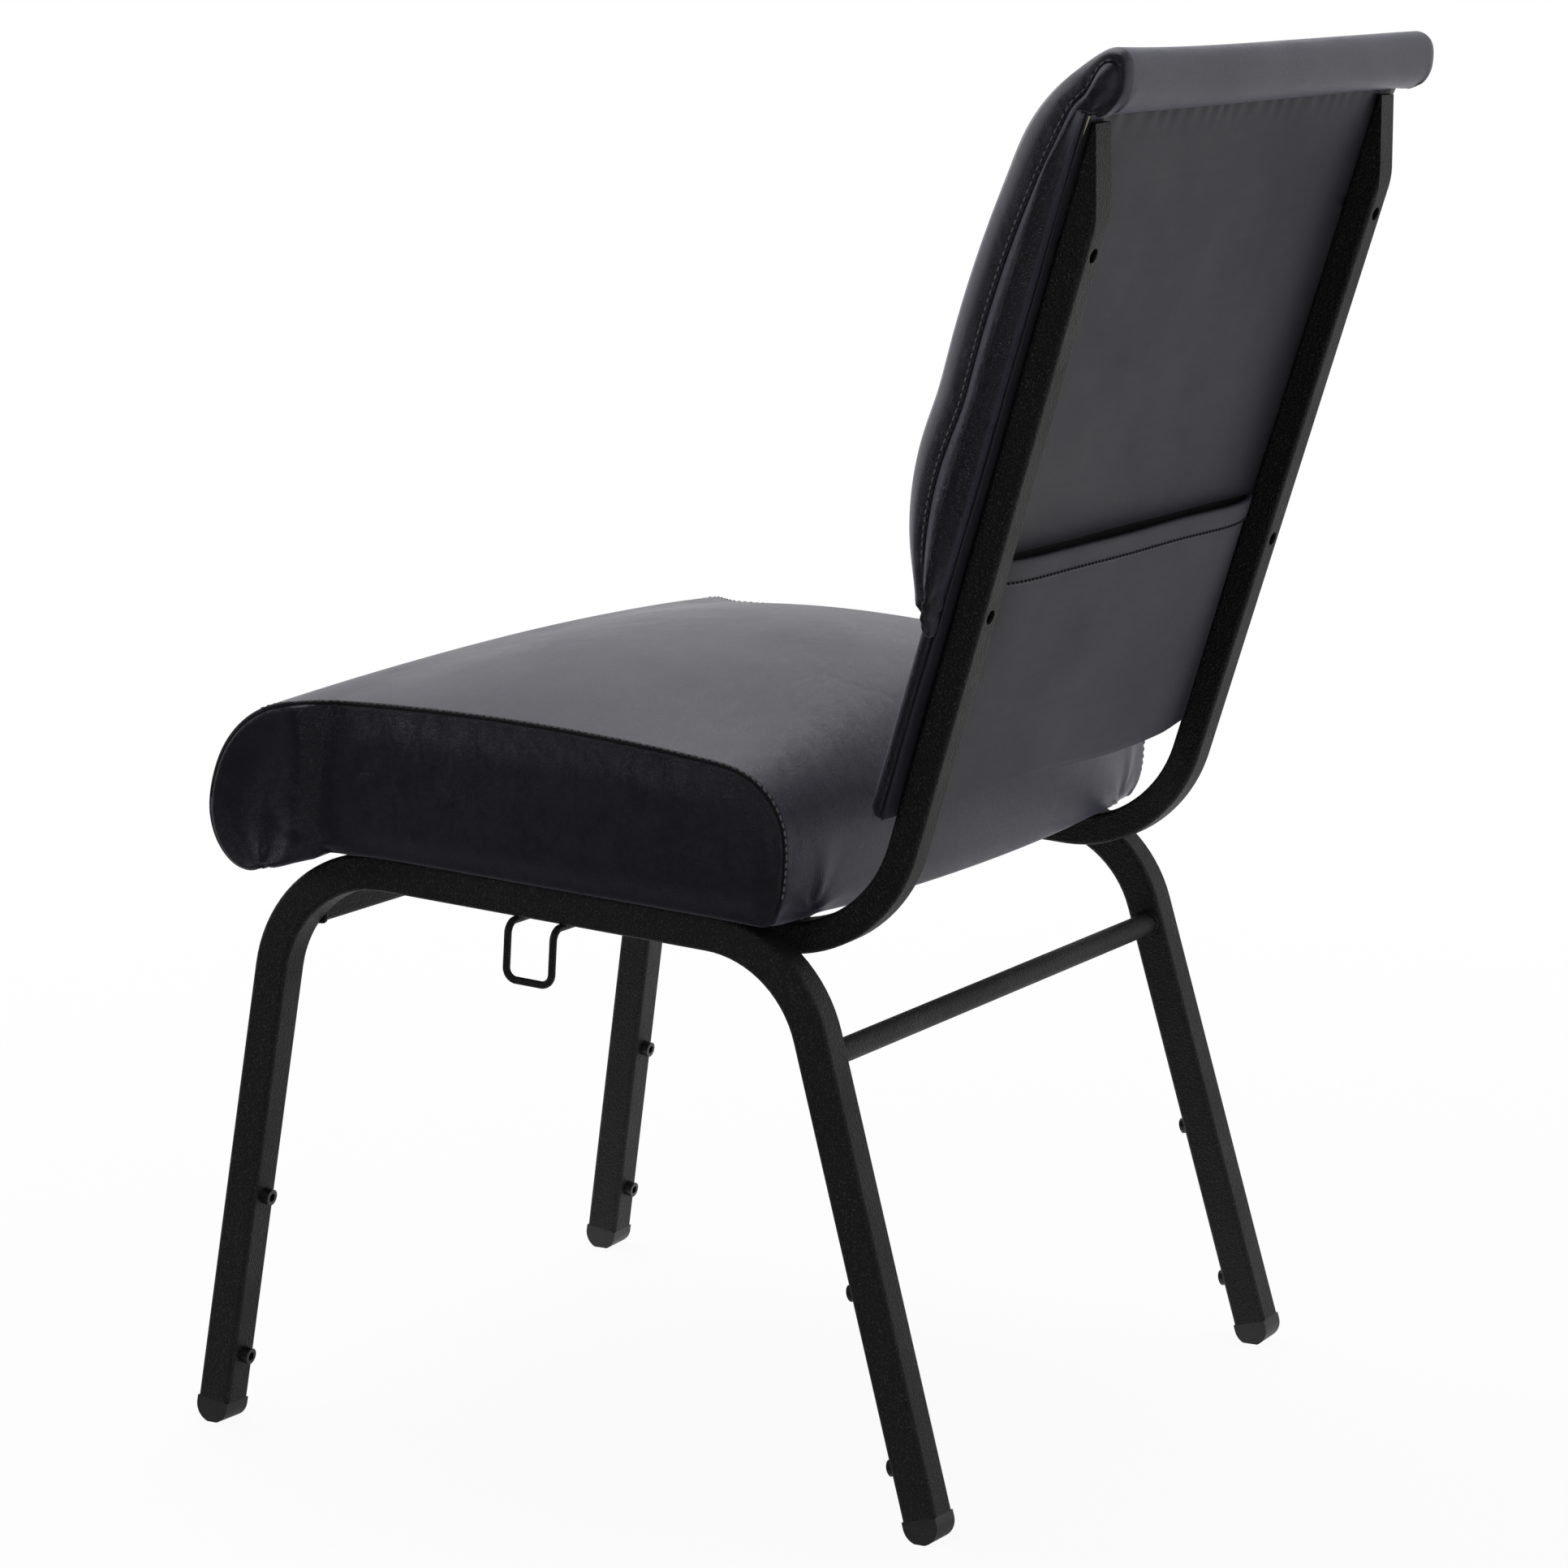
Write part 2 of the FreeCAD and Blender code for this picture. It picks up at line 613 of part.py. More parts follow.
def seat_strap(name, row):
    """A flat bar across both back uprights' runs, flush with the top of the rails."""
    body = new_body(name)
    half_length = "(%s - tan(Sizes.leg_splay) * Derived.frame_top)" % "Derived.rail_inner_gap"
    outline = sketch_on(body, name + "_outline", "XY_Plane", z="Derived.frame_top")
    rectangle(
        outline, "-" + half_length, "%s - Sizes.strap_width / 2" % row,
        half_length, "%s + Sizes.strap_width / 2" % row,
    )
    for column in SEAT_SCREW_COLUMNS:
        circle(outline, column, row, "Sizes.seat_screw + 2 * Sizes.screw_hole_clearance")
    pad(body, name + "_bar", outline, "Sizes.strap_thickness", Reversed=True)
    place_on_rails(body)
    return body


def upright_path(body, name, cut_back):
    """The run under the seat, the bend and the leaning straight, shortened by an amount."""
    path = sketch_on(body, name, "YZ_Plane")
    run_start = ("Sizes.upright_run_end", "Derived.run_level - Derived.tan_fall * Sizes.upright_run_end")
    top = (
        "Sizes.back_foot + (Derived.upright_length - (%s)) * sin(Sizes.back_recline)" % cut_back,
        "(Derived.upright_length - (%s)) * cos(Sizes.back_recline)" % cut_back,
    )
    corners = [run_start, ("Derived.run_corner_place", "Derived.run_corner_level"), top]
    bent_path(path, corners, "Sizes.upright_bend_radius")
    return path


def upright_section(body, name, width, corner):
    section = sketch_on(
        body, name, "XZ_Plane",
        y="Derived.run_level - Derived.tan_fall * Sizes.upright_run_end",
        z="-Sizes.upright_run_end", axis=ALONG_X, angle="Sizes.rail_fall",
    )
    rounded_square(section, width, corner)
    return section


def back_upright(side_name, side):
    name = side_name + "_back_upright"
    body = new_body(name)
    section = upright_section(body, name + "_section", "Sizes.upright_tube", "Sizes.upright_corner")
    pipe(body, name + "_bar", section, upright_path(body, name + "_path", "0"))
    bore = upright_section(
        body, name + "_bore_section", "(Sizes.upright_tube - 2 * Sizes.upright_wall)",
        bore_corner("upright_corner", "upright_wall"),
    )
    bore_path = upright_path(body, name + "_bore_path", "Derived.taper_length + Sizes.upright_wall")
    pipe(body, name + "_bore", bore, bore_path, hollow=True)
    pinch = sketch_on(
        body, name + "_pinch", "YZ_Plane", x="Sizes.back_foot",
        axis=FreeCAD.Vector(0, 0, 1), angle="-Sizes.back_recline",
    )
    draw_pinch(pinch)
    cut_through(body, name + "_tab", pinch)
    for place_name, width, forward in (
        ("access", "Sizes.back_access_hole", False),
        ("screw", "Sizes.back_screw + 2 * Sizes.screw_hole_clearance", True),
    ):
        holes = sketch_on(
            body, "%s_%s_holes" % (name, place_name), "XZ_Plane", z="-Sizes.back_foot",
            axis=ALONG_X, angle="-Sizes.back_recline",
        )
        for reach in ("Sizes.back_upper_screw", "Sizes.back_lower_screw"):
            circle(holes, "0", reach, width)
        cut_through(body, "%s_%s_bores" % (name, place_name), holes, both=False, Reversed=forward)
    place(
        body, x="%d * Derived.upright_half_gap" % side, z="Sizes.rail_height",
        axis=ALONG_Y, angle="%d * Sizes.upright_flare" % side,
    )
    return body


def draw_pinch(sketch):
    """What is pressed away behind the upright's top, so that it thins to a flat tab."""
    half = size("upright_tube") / 2
    radius = size("tab_curve_radius")
    taper = math.radians(size("tab_taper"))
    start = worked("taper_start")
    top = worked("upright_length")
    centre = FreeCAD.Vector(half - radius, start, 0)
    curve = sketch.addGeometry(Part.ArcOfCircle(Part.Circle(centre, FreeCAD.Vector(0, 0, 1), radius), 0, taper))
    bend_end = centre + FreeCAD.Vector(radius * math.cos(taper), radius * math.sin(taper), 0)
    tip = FreeCAD.Vector(size("tab_thickness") - half, top, 0)
    above = FreeCAD.Vector(tip.x, top + half, 0)
    outer_top = FreeCAD.Vector(2 * half, top + half, 0)
    outer_bottom = FreeCAD.Vector(2 * half, start, 0)
    outline = [bend_end, tip, above, outer_top, outer_bottom, FreeCAD.Vector(half, start, 0)]
    lines = [sketch.addGeometry(Part.LineSegment(a, b)) for a, b in zip(outline, outline[1:])]
    constrain(sketch, "Tangent", curve, 2, lines[0], 1)
    for before, after in zip(lines, lines[1:]):
        constrain(sketch, "Coincident", before, 2, after, 1)
    constrain(sketch, "Coincident", lines[-1], 2, curve, 1)
    constrain(sketch, "Radius", curve, expression="Sizes.tab_curve_radius")
    constrain(sketch, "DistanceY", curve, 3, expression="Derived.taper_start")
    pin(sketch, curve, 1, "Sizes.upright_tube / 2", "Derived.taper_start")
    pin(sketch, lines[1], 1, "Sizes.tab_thickness - Sizes.upright_tube / 2", "Derived.upright_length")
    constrain(sketch, "Vertical", lines[1])
    pin(sketch, lines[3], 1, "Sizes.upright_tube", "Derived.upright_length + Sizes.upright_tube / 2")
    constrain(sketch, "Horizontal", lines[2])
    pin(sketch, lines[3], 2, "Sizes.upright_tube", "Derived.taper_start")


def ganging_wire(name, side, width, drop):
    """A bent wire welded under a rail: two arms run inboard and a U hangs outside."""
    body = new_body(name)
    level = "-Sizes.leg_tube / 2 * (cos(Sizes.leg_splay) + sin(Sizes.leg_splay)) - Sizes.wire / 2"
    overhang = "Sizes.leg_tube / 2 + Sizes.wire / 2 + Sizes.wire_side_gap"
    outside = "%d * (%s)" % (side, overhang)
    inside = "%d * (%s - Sizes.wire_arm_length)" % (side, overhang)
    shoulder = "%s - Sizes.wire_bend_radius" % level
    front = "Sizes.ganging_place - (%s) / 2" % width
    rear = "Sizes.ganging_place + (%s) / 2" % width
    hanging = sketch_on(body, name + "_hanging_path", "YZ_Plane", z=outside)
    foot = "%s - (%s)" % (level, drop)
    bent_path(hanging, [(front, shoulder), (front, foot), (rear, foot), (rear, shoulder)], "Sizes.wire_bend_radius")
    section = sketch_on(body, name + "_hanging_section", "XY_Plane", x=outside, y=front, z=shoulder)
    circle(section, "0", "0", "Sizes.wire")
    pipe(body, name + "_hanging", section, hanging)
    for end, row in ((FRONT, front), (REAR, rear)):
        arm = sketch_on(body, "%s_%s_arm_path" % (name, end), "XZ_Plane", z="-(%s)" % row)
        draw_arm(arm, outside, inside, shoulder, level, side)
        section = sketch_on(body, "%s_%s_arm_section" % (name, end), "XY_Plane", x=outside, y=row, z=shoulder)
        circle(section, "0", "0", "Sizes.wire")
        pipe(body, "%s_%s_arm" % (name, end), section, arm)
    place_on_rails(body, x="%d * (Sizes.foot_half_track - tan(Sizes.leg_splay) * Sizes.rail_height)" % side)
    return body


def draw_arm(sketch, outside, inside, shoulder, level, side):
    """A quarter bend up from the hanging leg and a straight run inboard."""
    radius = size("wire_bend_radius")
    x = amount(outside)
    centre = FreeCAD.Vector(x - side * radius, amount(shoulder), 0)
    turn = Part.Circle(centre, FreeCAD.Vector(0, 0, 1), radius)
    span = (0, math.pi / 2) if side > 0 else (math.pi / 2, math.pi)
    low, high = (1, 2) if side > 0 else (2, 1)
    bend = sketch.addGeometry(Part.ArcOfCircle(turn, *span))
    top = FreeCAD.Vector(x - side * radius, amount(level), 0)
    run = sketch.addGeometry(Part.LineSegment(top, FreeCAD.Vector(amount(inside), amount(level), 0)))
    constrain(sketch, "Tangent", bend, high, run, 1)
    constrain(sketch, "Radius", bend, expression="Sizes.wire_bend_radius")
    pin(sketch, bend, low, outside, shoulder)
    pin(sketch, run, 2, inside, level)
    constrain(sketch, "DistanceY", run, 1, expression=level)


def slab(body, name, half_width, rear, front, bottom, thickness, corner=None):
    """A flat plate lying on the rails' plane, with its corners rounded where asked."""
    outline = sketch_on(body, name + "_outline", "XY_Plane", z=bottom)
    rectangle(outline, "-(%s)" % half_width, front, half_width, rear)
    plate = pad(body, name + "_plate", outline, thickness)
    if corner:
        round_corners(body, name, plate, "Z", corner)
    return plate


def round_corners(body, name, base, along, radius):
    """Fillet the four edges of a plate that run through its thickness."""
    doc.recompute()
    chosen = []
    for number, edge in enumerate(base.Shape.Edges, 1):
        direction = edge.tangentAt(edge.FirstParameter)
        if edge.Curve.TypeId == "Part::GeomLine" and abs(getattr(direction, along.lower())) > 0.99:
            chosen.append("Edge%d" % number)
    fillet = body.newObject("PartDesign::Fillet", name + "_corners")
    fillet.Base = (base, chosen)
    fillet.Radius = amount(radius)
    bind(fillet, {"Radius": radius})
    body.Tip = fillet
    return fillet


def seat_screw_spots():
    return [(column, row) for row in SEAT_SCREW_ROWS for column in SEAT_SCREW_COLUMNS]


def seat_dust_cloth():
    name = "seat_dust_cloth"
    body = new_body(name)
    slab(
        body, name, "(Sizes.seat_board_half_width - Sizes.cloth_hem)", "(Sizes.seat_board_rear - Sizes.cloth_hem)",
        "(Sizes.seat_board_front + Sizes.cloth_hem)", "Derived.cloth_base", "Sizes.dust_cloth_thickness",
        "Sizes.seat_board_corner",
    )
    holes = sketch_on(body, name + "_holes", "XY_Plane")
    for column, row in seat_screw_spots():
        circle(holes, column, row, "Sizes.seat_screw + 2 * Sizes.screw_hole_clearance")
    cut_through(body, name + "_screw_holes", holes)
    place_on_rails(body)
    return body


def seat_board():
    name = "seat_board"
    body = new_body(name)
    slab(
        body, name, "Sizes.seat_board_half_width", "Sizes.seat_board_rear", "Sizes.seat_board_front",
        "Derived.board_base", "Sizes.seat_board_thickness", "Sizes.seat_board_corner",
    )
    barrels = sketch_on(body, name + "_barrel_holes", "XY_Plane")
    flanges = sketch_on(body, name + "_flange_seats", "XY_Plane", z="Derived.board_top")
    for column, row in seat_screw_spots():
        circle(barrels, column, row, "Sizes.tee_barrel + 2 * Sizes.screw_hole_clearance")
        circle(flanges, column, row, "Sizes.tee_flange + 2 * Sizes.screw_hole_clearance")
    cut_through(body, name + "_barrel_bores", barrels)
    feature(
        body, "Pocket", name + "_flange_recesses", flanges,
        links={"Length": "Sizes.tee_flange_thickness"},
    )
    place_on_rails(body)
    return body


def seat_tee_nuts():
    name = "seat_tee_nuts"
    body = new_body(name, several=True)
    flanges = sketch_on(body, name + "_flanges", "XY_Plane", z="Derived.board_top")
    barrels = sketch_on(body, name + "_barrels", "XY_Plane", z="Derived.board_top")
    bores = sketch_on(body, name + "_bores", "XY_Plane")
    for column, row in seat_screw_spots():
        circle(flanges, column, row, "Sizes.tee_flange")
        circle(barrels, column, row, "Sizes.tee_barrel")
        circle(bores, column, row, "Sizes.seat_screw + 2 * Sizes.thread_clearance")
    pad(body, name + "_flange", flanges, "Sizes.tee_flange_thickness", Reversed=True)
    pad(body, name + "_barrel", barrels, "Sizes.seat_board_thickness - Sizes.tee_short", Reversed=True)
    cut_through(body, name + "_threads", bores)
    place_on_rails(body)
    return body


def seat_screws():
    """Screws up through the straps into the board, with low round heads."""
    name = "seat_screws"
    body = new_body(name, several=True)
    under = "Derived.frame_top - Sizes.strap_thickness"
    heads = sketch_on(body, name + "_heads", "XY_Plane", z=under)
    shanks = sketch_on(body, name + "_shanks", "XY_Plane", z=under)
    sockets = sketch_on(body, name + "_sockets", "XY_Plane", z="%s - Sizes.seat_screw_head_height" % under)
    for column, row in seat_screw_spots():
        circle(heads, column, row, "Sizes.seat_screw_head")
        circle(shanks, column, row, "Sizes.seat_screw")
        hexagon(sockets, column, row, "Sizes.seat_screw_socket")
    pad(body, name + "_head", heads, "Sizes.seat_screw_head_height", Reversed=True)
    pad(
        body, name + "_shank", shanks,
        "Derived.board_top - Sizes.tee_short - (%s)" % under,
    )
    feature(
        body, "Pocket", name + "_socket", sockets, Reversed=True,
        links={"Length": "Sizes.seat_screw_socket_depth"},
    )
    place_on_rails(body)
    return body


def station(x, start, runs):
    """A closed outline across the chair's middle plane at one X; a run with a via point is an arc."""
    edges = []
    here = FreeCAD.Vector(x, *start)
    for via, end in runs:
        there = FreeCAD.Vector(x, *end)
        if via is None:
            edges.append(Part.makeLine(here, there))
        else:
            edges.append(Part.Arc(here, FreeCAD.Vector(x, *via), there).toShape())
        here = there
    return Part.Wire(edges)


def loft_through(stations, plain=False):
    return Part.makeLoft(stations, True, plain)


SEAT_SHARES = (-1.0, -0.93, -0.8, -0.5, 0.0, 0.5, 0.8, 0.93, 1.0)
FOAM_SHARES = (-1.0, -0.8, -0.45, 0.0, 0.45, 0.8, 1.0)


def seat_form(inset, base, lip, shares=SEAT_SHARES):
    """The seat's crowned form: the end outlines are the side panels' seams."""
    half = size("seat_half_width") - inset
    rows = []
    for share in shares:
        crown = size("seat_crown") * (1 - share ** 2)
        rear = size("seat_rear") - size("seat_rear_bow") * share ** 2 - inset
        front = size("seat_front") + size("seat_front_bow") * share ** 2 + inset
        side = worked("board_base") + size("seat_side_height") - inset
        top = side + crown
        middle = side * 0.45
        nose = side * 0.42
        foot = base - lip
        roll = size("seat_edge_roll") + 0.5 * crown
        tuck = size("seat_edge_tuck")
        runs = [
            ((rear - 1, base + middle * 0.4), (rear - 1, middle)),
            ((rear - roll * 0.3, side * 0.72 + top * 0.13), (rear - roll, top - 3 - crown * 0.3)),
            (((rear - roll + front) / 2, top + 1.5), (front + roll * 1.5, top - 4 - crown * 0.2)),
            ((front + roll * 0.38, side * 0.68 + top * 0.1), (front, nose)),
            ((front + 2, (foot + nose) * 0.5 - 6), (front + 24, foot)),
            (None, (front + 40 + lip * 2, base)),
            (None, (rear - tuck, base)),
        ]
        rows.append(station(share * half, (rear - tuck, base), runs))
    return loft_through(rows, plain=shares is FOAM_SHARES)


def seat_wing(side):
    """The front corner's own panel, which swells out past the side panel."""
    base = worked("cloth_base")
    height = worked("board_base") + size("seat_side_height")
    front = size("seat_front") + size("seat_front_bow")
    inner = size("seat_half_width") - size("seat_wing_root")
    outer = size("seat_wing_half_width")
    rows = []
    for share, shrink in ((0.0, 3), (0.38, 1), (0.81, 0), (0.95, 5), (1.0, 12)):
        x = inner + (outer - inner) * share
        rear = front + size("seat_wing_length") - shrink
        top = height - 6 - shrink
        foot = base - size("seat_lip_drop") + shrink
        runs = [
            ((rear + 1.5, (top + base) / 2), (rear - 3, top - 4)),
            ((rear - 18, top), (rear - 36, top - 6)),
            ((front + shrink + 7, top * 0.74), (front + shrink, height * 0.4)),
            ((front + shrink + 1, height * 0.08), (front + 24, foot)),
            (None, (rear - 4, base - 5 + shrink)),
        ]
        rows.append(station(side * x, (rear - 4, base - 5 + shrink), runs))
    return loft_through(rows)


def add_soft(name, shape, seated):
    """A soft or shell-like piece that is shaped by lofts."""
    item = doc.addObject("Part::Feature", name)
    item.Label = name
    item.Shape = shape
    seated(item)
    return item


def board_space(clearance):
    """The room that the seat board and its cloth take up under the cushion."""
    half = size("seat_board_half_width") + clearance
    front = size("seat_board_front") - clearance
    rear = size("seat_board_rear") + clearance
    top = worked("board_top") + clearance
    low = -size("leg_tube") * 4
    return Part.makeBox(2 * half, rear - front, top - low, FreeCAD.Vector(-half, front, low))


def seat_foam():
    gap = size("soft_clearance")
    wall = size("seat_cover_wall")
    shape = seat_form(wall + gap, worked("board_top") + gap, 0, FOAM_SHARES)
    return add_soft("seat_foam", shape, place_on_rails)


def seat_cushion():
    """The sewn cover: crowned top, boxed sides and the swelling front corners."""
    gap = size("soft_clearance")
    shape = seat_form(0, worked("cloth_base"), size("seat_lip_drop"))
    for side in (1, -1):
        shape = shape.fuse(seat_wing(side))
    shape = shape.cut(seat_form(size("seat_cover_wall"), worked("board_top") - 1, 0, FOAM_SHARES))
    shape = shape.cut(board_space(gap))
    return add_soft("seat_cushion", shape, place_on_rails)


BACK_SHARES = (-1.0, -0.965, -0.9, -0.78, -0.45, 0.0, 0.45, 0.78, 0.9, 0.965, 1.0)
BACK_FOAM_SHARES = (-1.0, -0.9, -0.45, 0.45, 0.9, 1.0)


def back_stations(inset, shares=BACK_SHARES):
    """Outlines of the back cushion from side to side: y is forward of the uprights, z runs up them."""
    half = worked("back_half_width") - inset
    low = size("back_bottom") + inset
    high = size("back_top") - inset
    tall = high - low
    lap = high - size("roll_height") + 2 * inset
    rear = -size("upright_tube") / 2 + size("roll_overhang") - inset
    edge = worked("back_board_front") + size("back_wrap")
    rows = []
    for share in shares:
        swell = math.sqrt(1 - abs(share) ** 10)
        side_front = -size("back_side_depth") + inset
        full_front = side_front - size("back_crown") + inset * 0.3
        front = side_front + (full_front - side_front) * swell
        dip = size("back_top_dip") * (1 - share ** 2)
        top = high - dip
        tuck = 4 + 14 * swell
        round_off = 0.55 * (edge - front)
        runs = [
            (None, (edge - tuck * 0.5, low)),
            ((front + round_off * 0.42 + 5 * swell, low + 0.1 * tall), (front + 1, low + 0.37 * tall)),
            ((front - 0.3, low + 0.53 * tall), (front + 5.5, low + 0.76 * tall)),
            ((front + 13 + 3 * swell, low + 0.885 * tall), (-12 + inset * 0.2, top - 6)),
            ((-3.0, top), (rear - 3.5, top - 0.36 * size("roll_height"))),
            ((rear - 0.5, top - 0.68 * size("roll_height")), (-1.5 - inset, lap)),
            (None, (edge, lap)),
            (None, (edge, low)),
        ]
        rows.append(station(share * half, (edge, low), runs))
    return rows


def back_space(clearance):
    """The room that the back board and its rear cover take up behind the cushion."""
    half = worked("back_board_half_width") + clearance
    top = size("back_board_top") + clearance
    front = worked("back_board_front") - clearance
    depth = size("roll_overhang") + size("upright_tube")
    return Part.makeBox(2 * half, depth, top, FreeCAD.Vector(-half, front, 0))


def ahead_of_board(clearance):
    far = worked("back_half_width") + size("back_top")
    front = worked("back_board_front") - clearance
    return Part.makeBox(2 * far, far, far, FreeCAD.Vector(-far, front - far, 0))


def back_cushion():
    """The back's sewn cover, with the roll that laps over the top to the rear."""
    gap = size("soft_clearance")
    shape = loft_through(back_stations(0))
    room = loft_through(back_stations(size("back_cover_wall"), BACK_FOAM_SHARES), True)
    room = room.common(ahead_of_board(gap))
    shape = shape.cut(room)
    shape = shape.cut(back_space(gap))
    return add_soft("back_cushion", shape, place_on_back)


def back_foam():
    gap = size("soft_clearance")
    shape = loft_through(back_stations(size("back_cover_wall") + gap, BACK_FOAM_SHARES), True)
    return add_soft("back_foam", shape.common(ahead_of_board(gap)), place_on_back)


BACK_SCREW_REACHES = ("Sizes.back_upper_screw", "Sizes.back_lower_screw")


def back_screw_spots():
    """Screw centres on the back: the columns follow the uprights' outward lean."""
    spots = []
    for side in (1, -1):
        for reach in BACK_SCREW_REACHES:
            across = "%d * (Derived.upright_half_gap + tan(Sizes.upright_flare) * %s * cos(Sizes.back_recline))" % (
                side, reach)
            spots.append((across, reach))
    return spots


def back_plate(name, half_width, bottom, top, front, thickness, corner):
    """A flat sheet standing ahead of the uprights, built forwards from its rear face."""
    body = new_body(name)
    outline = sketch_on(body, name + "_outline", "XZ_Plane", z="-(%s)" % front)
    rectangle(outline, "-(%s)" % half_width, bottom, half_width, top)
    plate = pad(body, name + "_plate", outline, thickness, Reversed=True)
    if corner:
        round_corners(body, name, plate, "Y", corner)
    return body


def back_board():
    name = "back_board"
    body = back_plate(
        name, "Derived.back_board_half_width", "Sizes.back_board_bottom", "Sizes.back_board_top",
        "Derived.back_board_front", "Sizes.back_board_thickness", "Sizes.back_board_corner",
    )
    barrels = sketch_on(body, name + "_barrel_holes", "XZ_Plane")
    flanges = sketch_on(body, name + "_flange_seats", "XZ_Plane", z="-Derived.back_board_front")
    for across, reach in back_screw_spots():
        circle(barrels, across, reach, "Sizes.tee_barrel + 2 * Sizes.screw_hole_clearance")
        circle(flanges, across, reach, "Sizes.tee_flange + 2 * Sizes.screw_hole_clearance")
    cut_through(body, name + "_barrel_bores", barrels)
    feature(
        body, "Pocket", name + "_flange_recesses", flanges,
        links={"Length": "Sizes.tee_flange_thickness"},
    )
    place_on_back(body)
    return body


def back_rear_cover():
    name = "back_rear_cover"
    body = back_plate(
        name, "(Derived.back_board_half_width + Sizes.rear_cover_margin)",
        "(Sizes.back_board_bottom - Sizes.rear_cover_margin)", "Sizes.back_board_top",
        "Derived.back_face - Sizes.rear_cover_thickness", "Sizes.rear_cover_thickness", "Sizes.back_board_corner",
    )
    holes = sketch_on(body, name + "_holes", "XZ_Plane")
    for across, reach in back_screw_spots():
        circle(holes, across, reach, "Sizes.back_screw + 2 * Sizes.screw_hole_clearance")
    cut_through(body, name + "_screw_holes", holes)
    place_on_back(body)
    return body


def lower_back_pad():
    """The thin covered strip below the cushion, wrapped round the board's sides and bottom."""
    name = "lower_back_pad"
    gap = "Sizes.soft_clearance"
    half = "(Derived.back_board_half_width + Sizes.lower_pad_wrap)"
    bottom = "(Sizes.back_board_bottom - Sizes.lower_pad_wrap)"
    top = "(Sizes.back_bottom - %s)" % gap
    body = back_plate(
        name, half, bottom, top, "Derived.back_board_front - Sizes.lower_pad_thickness",
        "Sizes.back_board_thickness + Sizes.lower_pad_thickness", None,
    )
    room = sketch_on(body, name + "_board_room", "XZ_Plane", z="-(Derived.back_board_front - %s)" % gap)
    inner = "(Derived.back_board_half_width + %s)" % gap
    rectangle(room, "-" + inner, "Sizes.back_board_bottom - %s" % gap, inner, "%s + 1" % top)
    cut_through(body, name + "_room", room, both=False)
    place_on_back(body)
    return body


def back_tee_nuts():
    name = "back_tee_nuts"
    body = new_body(name, several=True)
    flanges = sketch_on(body, name + "_flanges", "XZ_Plane", z="-Derived.back_board_front")
    barrels = sketch_on(body, name + "_barrels", "XZ_Plane", z="-Derived.back_board_front")
    bores = sketch_on(body, name + "_bores", "XZ_Plane")
    for across, reach in back_screw_spots():
        circle(flanges, across, reach, "Sizes.tee_flange")
        circle(barrels, across, reach, "Sizes.tee_barrel")
        circle(bores, across, reach, "Sizes.back_screw + 2 * Sizes.thread_clearance")
    pad(body, name + "_flange", flanges, "Sizes.tee_flange_thickness", Reversed=True)
    pad(body, name + "_barrel", barrels, "Sizes.back_board_thickness - Sizes.tee_short", Reversed=True)
    cut_through(body, name + "_threads", bores)
    place_on_back(body)
    return body


def back_screws(side_name, side):
    """Screws whose heads sit inside the upright, reached through the rear wall."""
    name = side_name + "_back_screws"
    body = new_body(name, several=True)
    inner_face = "Sizes.upright_wall - Sizes.upright_tube / 2 + Sizes.thread_clearance"
    heads = sketch_on(body, name + "_heads", "XZ_Plane", z="-(%s)" % inner_face)
    shanks = sketch_on(body, name + "_shanks", "XZ_Plane", z="-(%s)" % inner_face)
    sockets = sketch_on(
        body, name + "_sockets", "XZ_Plane", z="-(%s + Sizes.back_screw_head_height)" % inner_face,
    )
    for across, reach in back_screw_spots():
        if across.startswith("%d *" % side):
            circle(heads, across, reach, "Sizes.back_screw_head")
            circle(shanks, across, reach, "Sizes.back_screw")
            hexagon(sockets, across, reach, "Sizes.back_screw_socket")
    pad(body, name + "_head", heads, "Sizes.back_screw_head_height", Reversed=True)
    pad(body, name + "_shank", shanks, "%s - Derived.back_board_front - Sizes.tee_short" % inner_face)
    feature(
        body, "Pocket", name + "_socket", sockets, Reversed=True,
        links={"Length": "Sizes.back_screw_socket_depth"},
    )
    place_on_back(body)
    return body


def book_pocket():
    """The pocket behind the back: a sheet between the uprights, open along its upper hem."""
    name = "book_pocket"
    body = new_body(name)
    rear = "(Derived.back_face + Sizes.soft_clearance)"
    foot_gap = "(%s + Sizes.pocket_foot_gap)" % rear
    mouth_gap = "(%s + Sizes.pocket_gap)" % rear
    thick = "Sizes.pocket_thickness"
    outer = sketch_on(body, name + "_outer", "YZ_Plane")
    polygon(outer, [
        (rear, "Sizes.pocket_bottom"), ("%s + %s" % (foot_gap, thick), "Sizes.pocket_bottom"),
        ("%s + %s" % (mouth_gap, thick), "Sizes.pocket_mouth"), (rear, "Sizes.pocket_mouth"),
    ])
    pad(body, name + "_sheet", outer, "2 * Derived.pocket_half_width", SideType="Symmetric")
    inner = sketch_on(body, name + "_inner", "YZ_Plane")
    polygon(inner, [
        ("%s - 1" % rear, "Sizes.pocket_bottom + %s" % thick), (foot_gap, "Sizes.pocket_bottom + %s" % thick),
        (mouth_gap, "Sizes.pocket_mouth"), (mouth_gap, "Sizes.pocket_mouth + 1"),
        ("%s - 1" % rear, "Sizes.pocket_mouth + 1"),
    ])
    feature(
        body, "Pocket", name + "_hollow", inner, SideType="Symmetric",
        links={"Length": "2 * (Derived.pocket_half_width - %s)" % thick},
    )
    place_on_back(body)
    return body


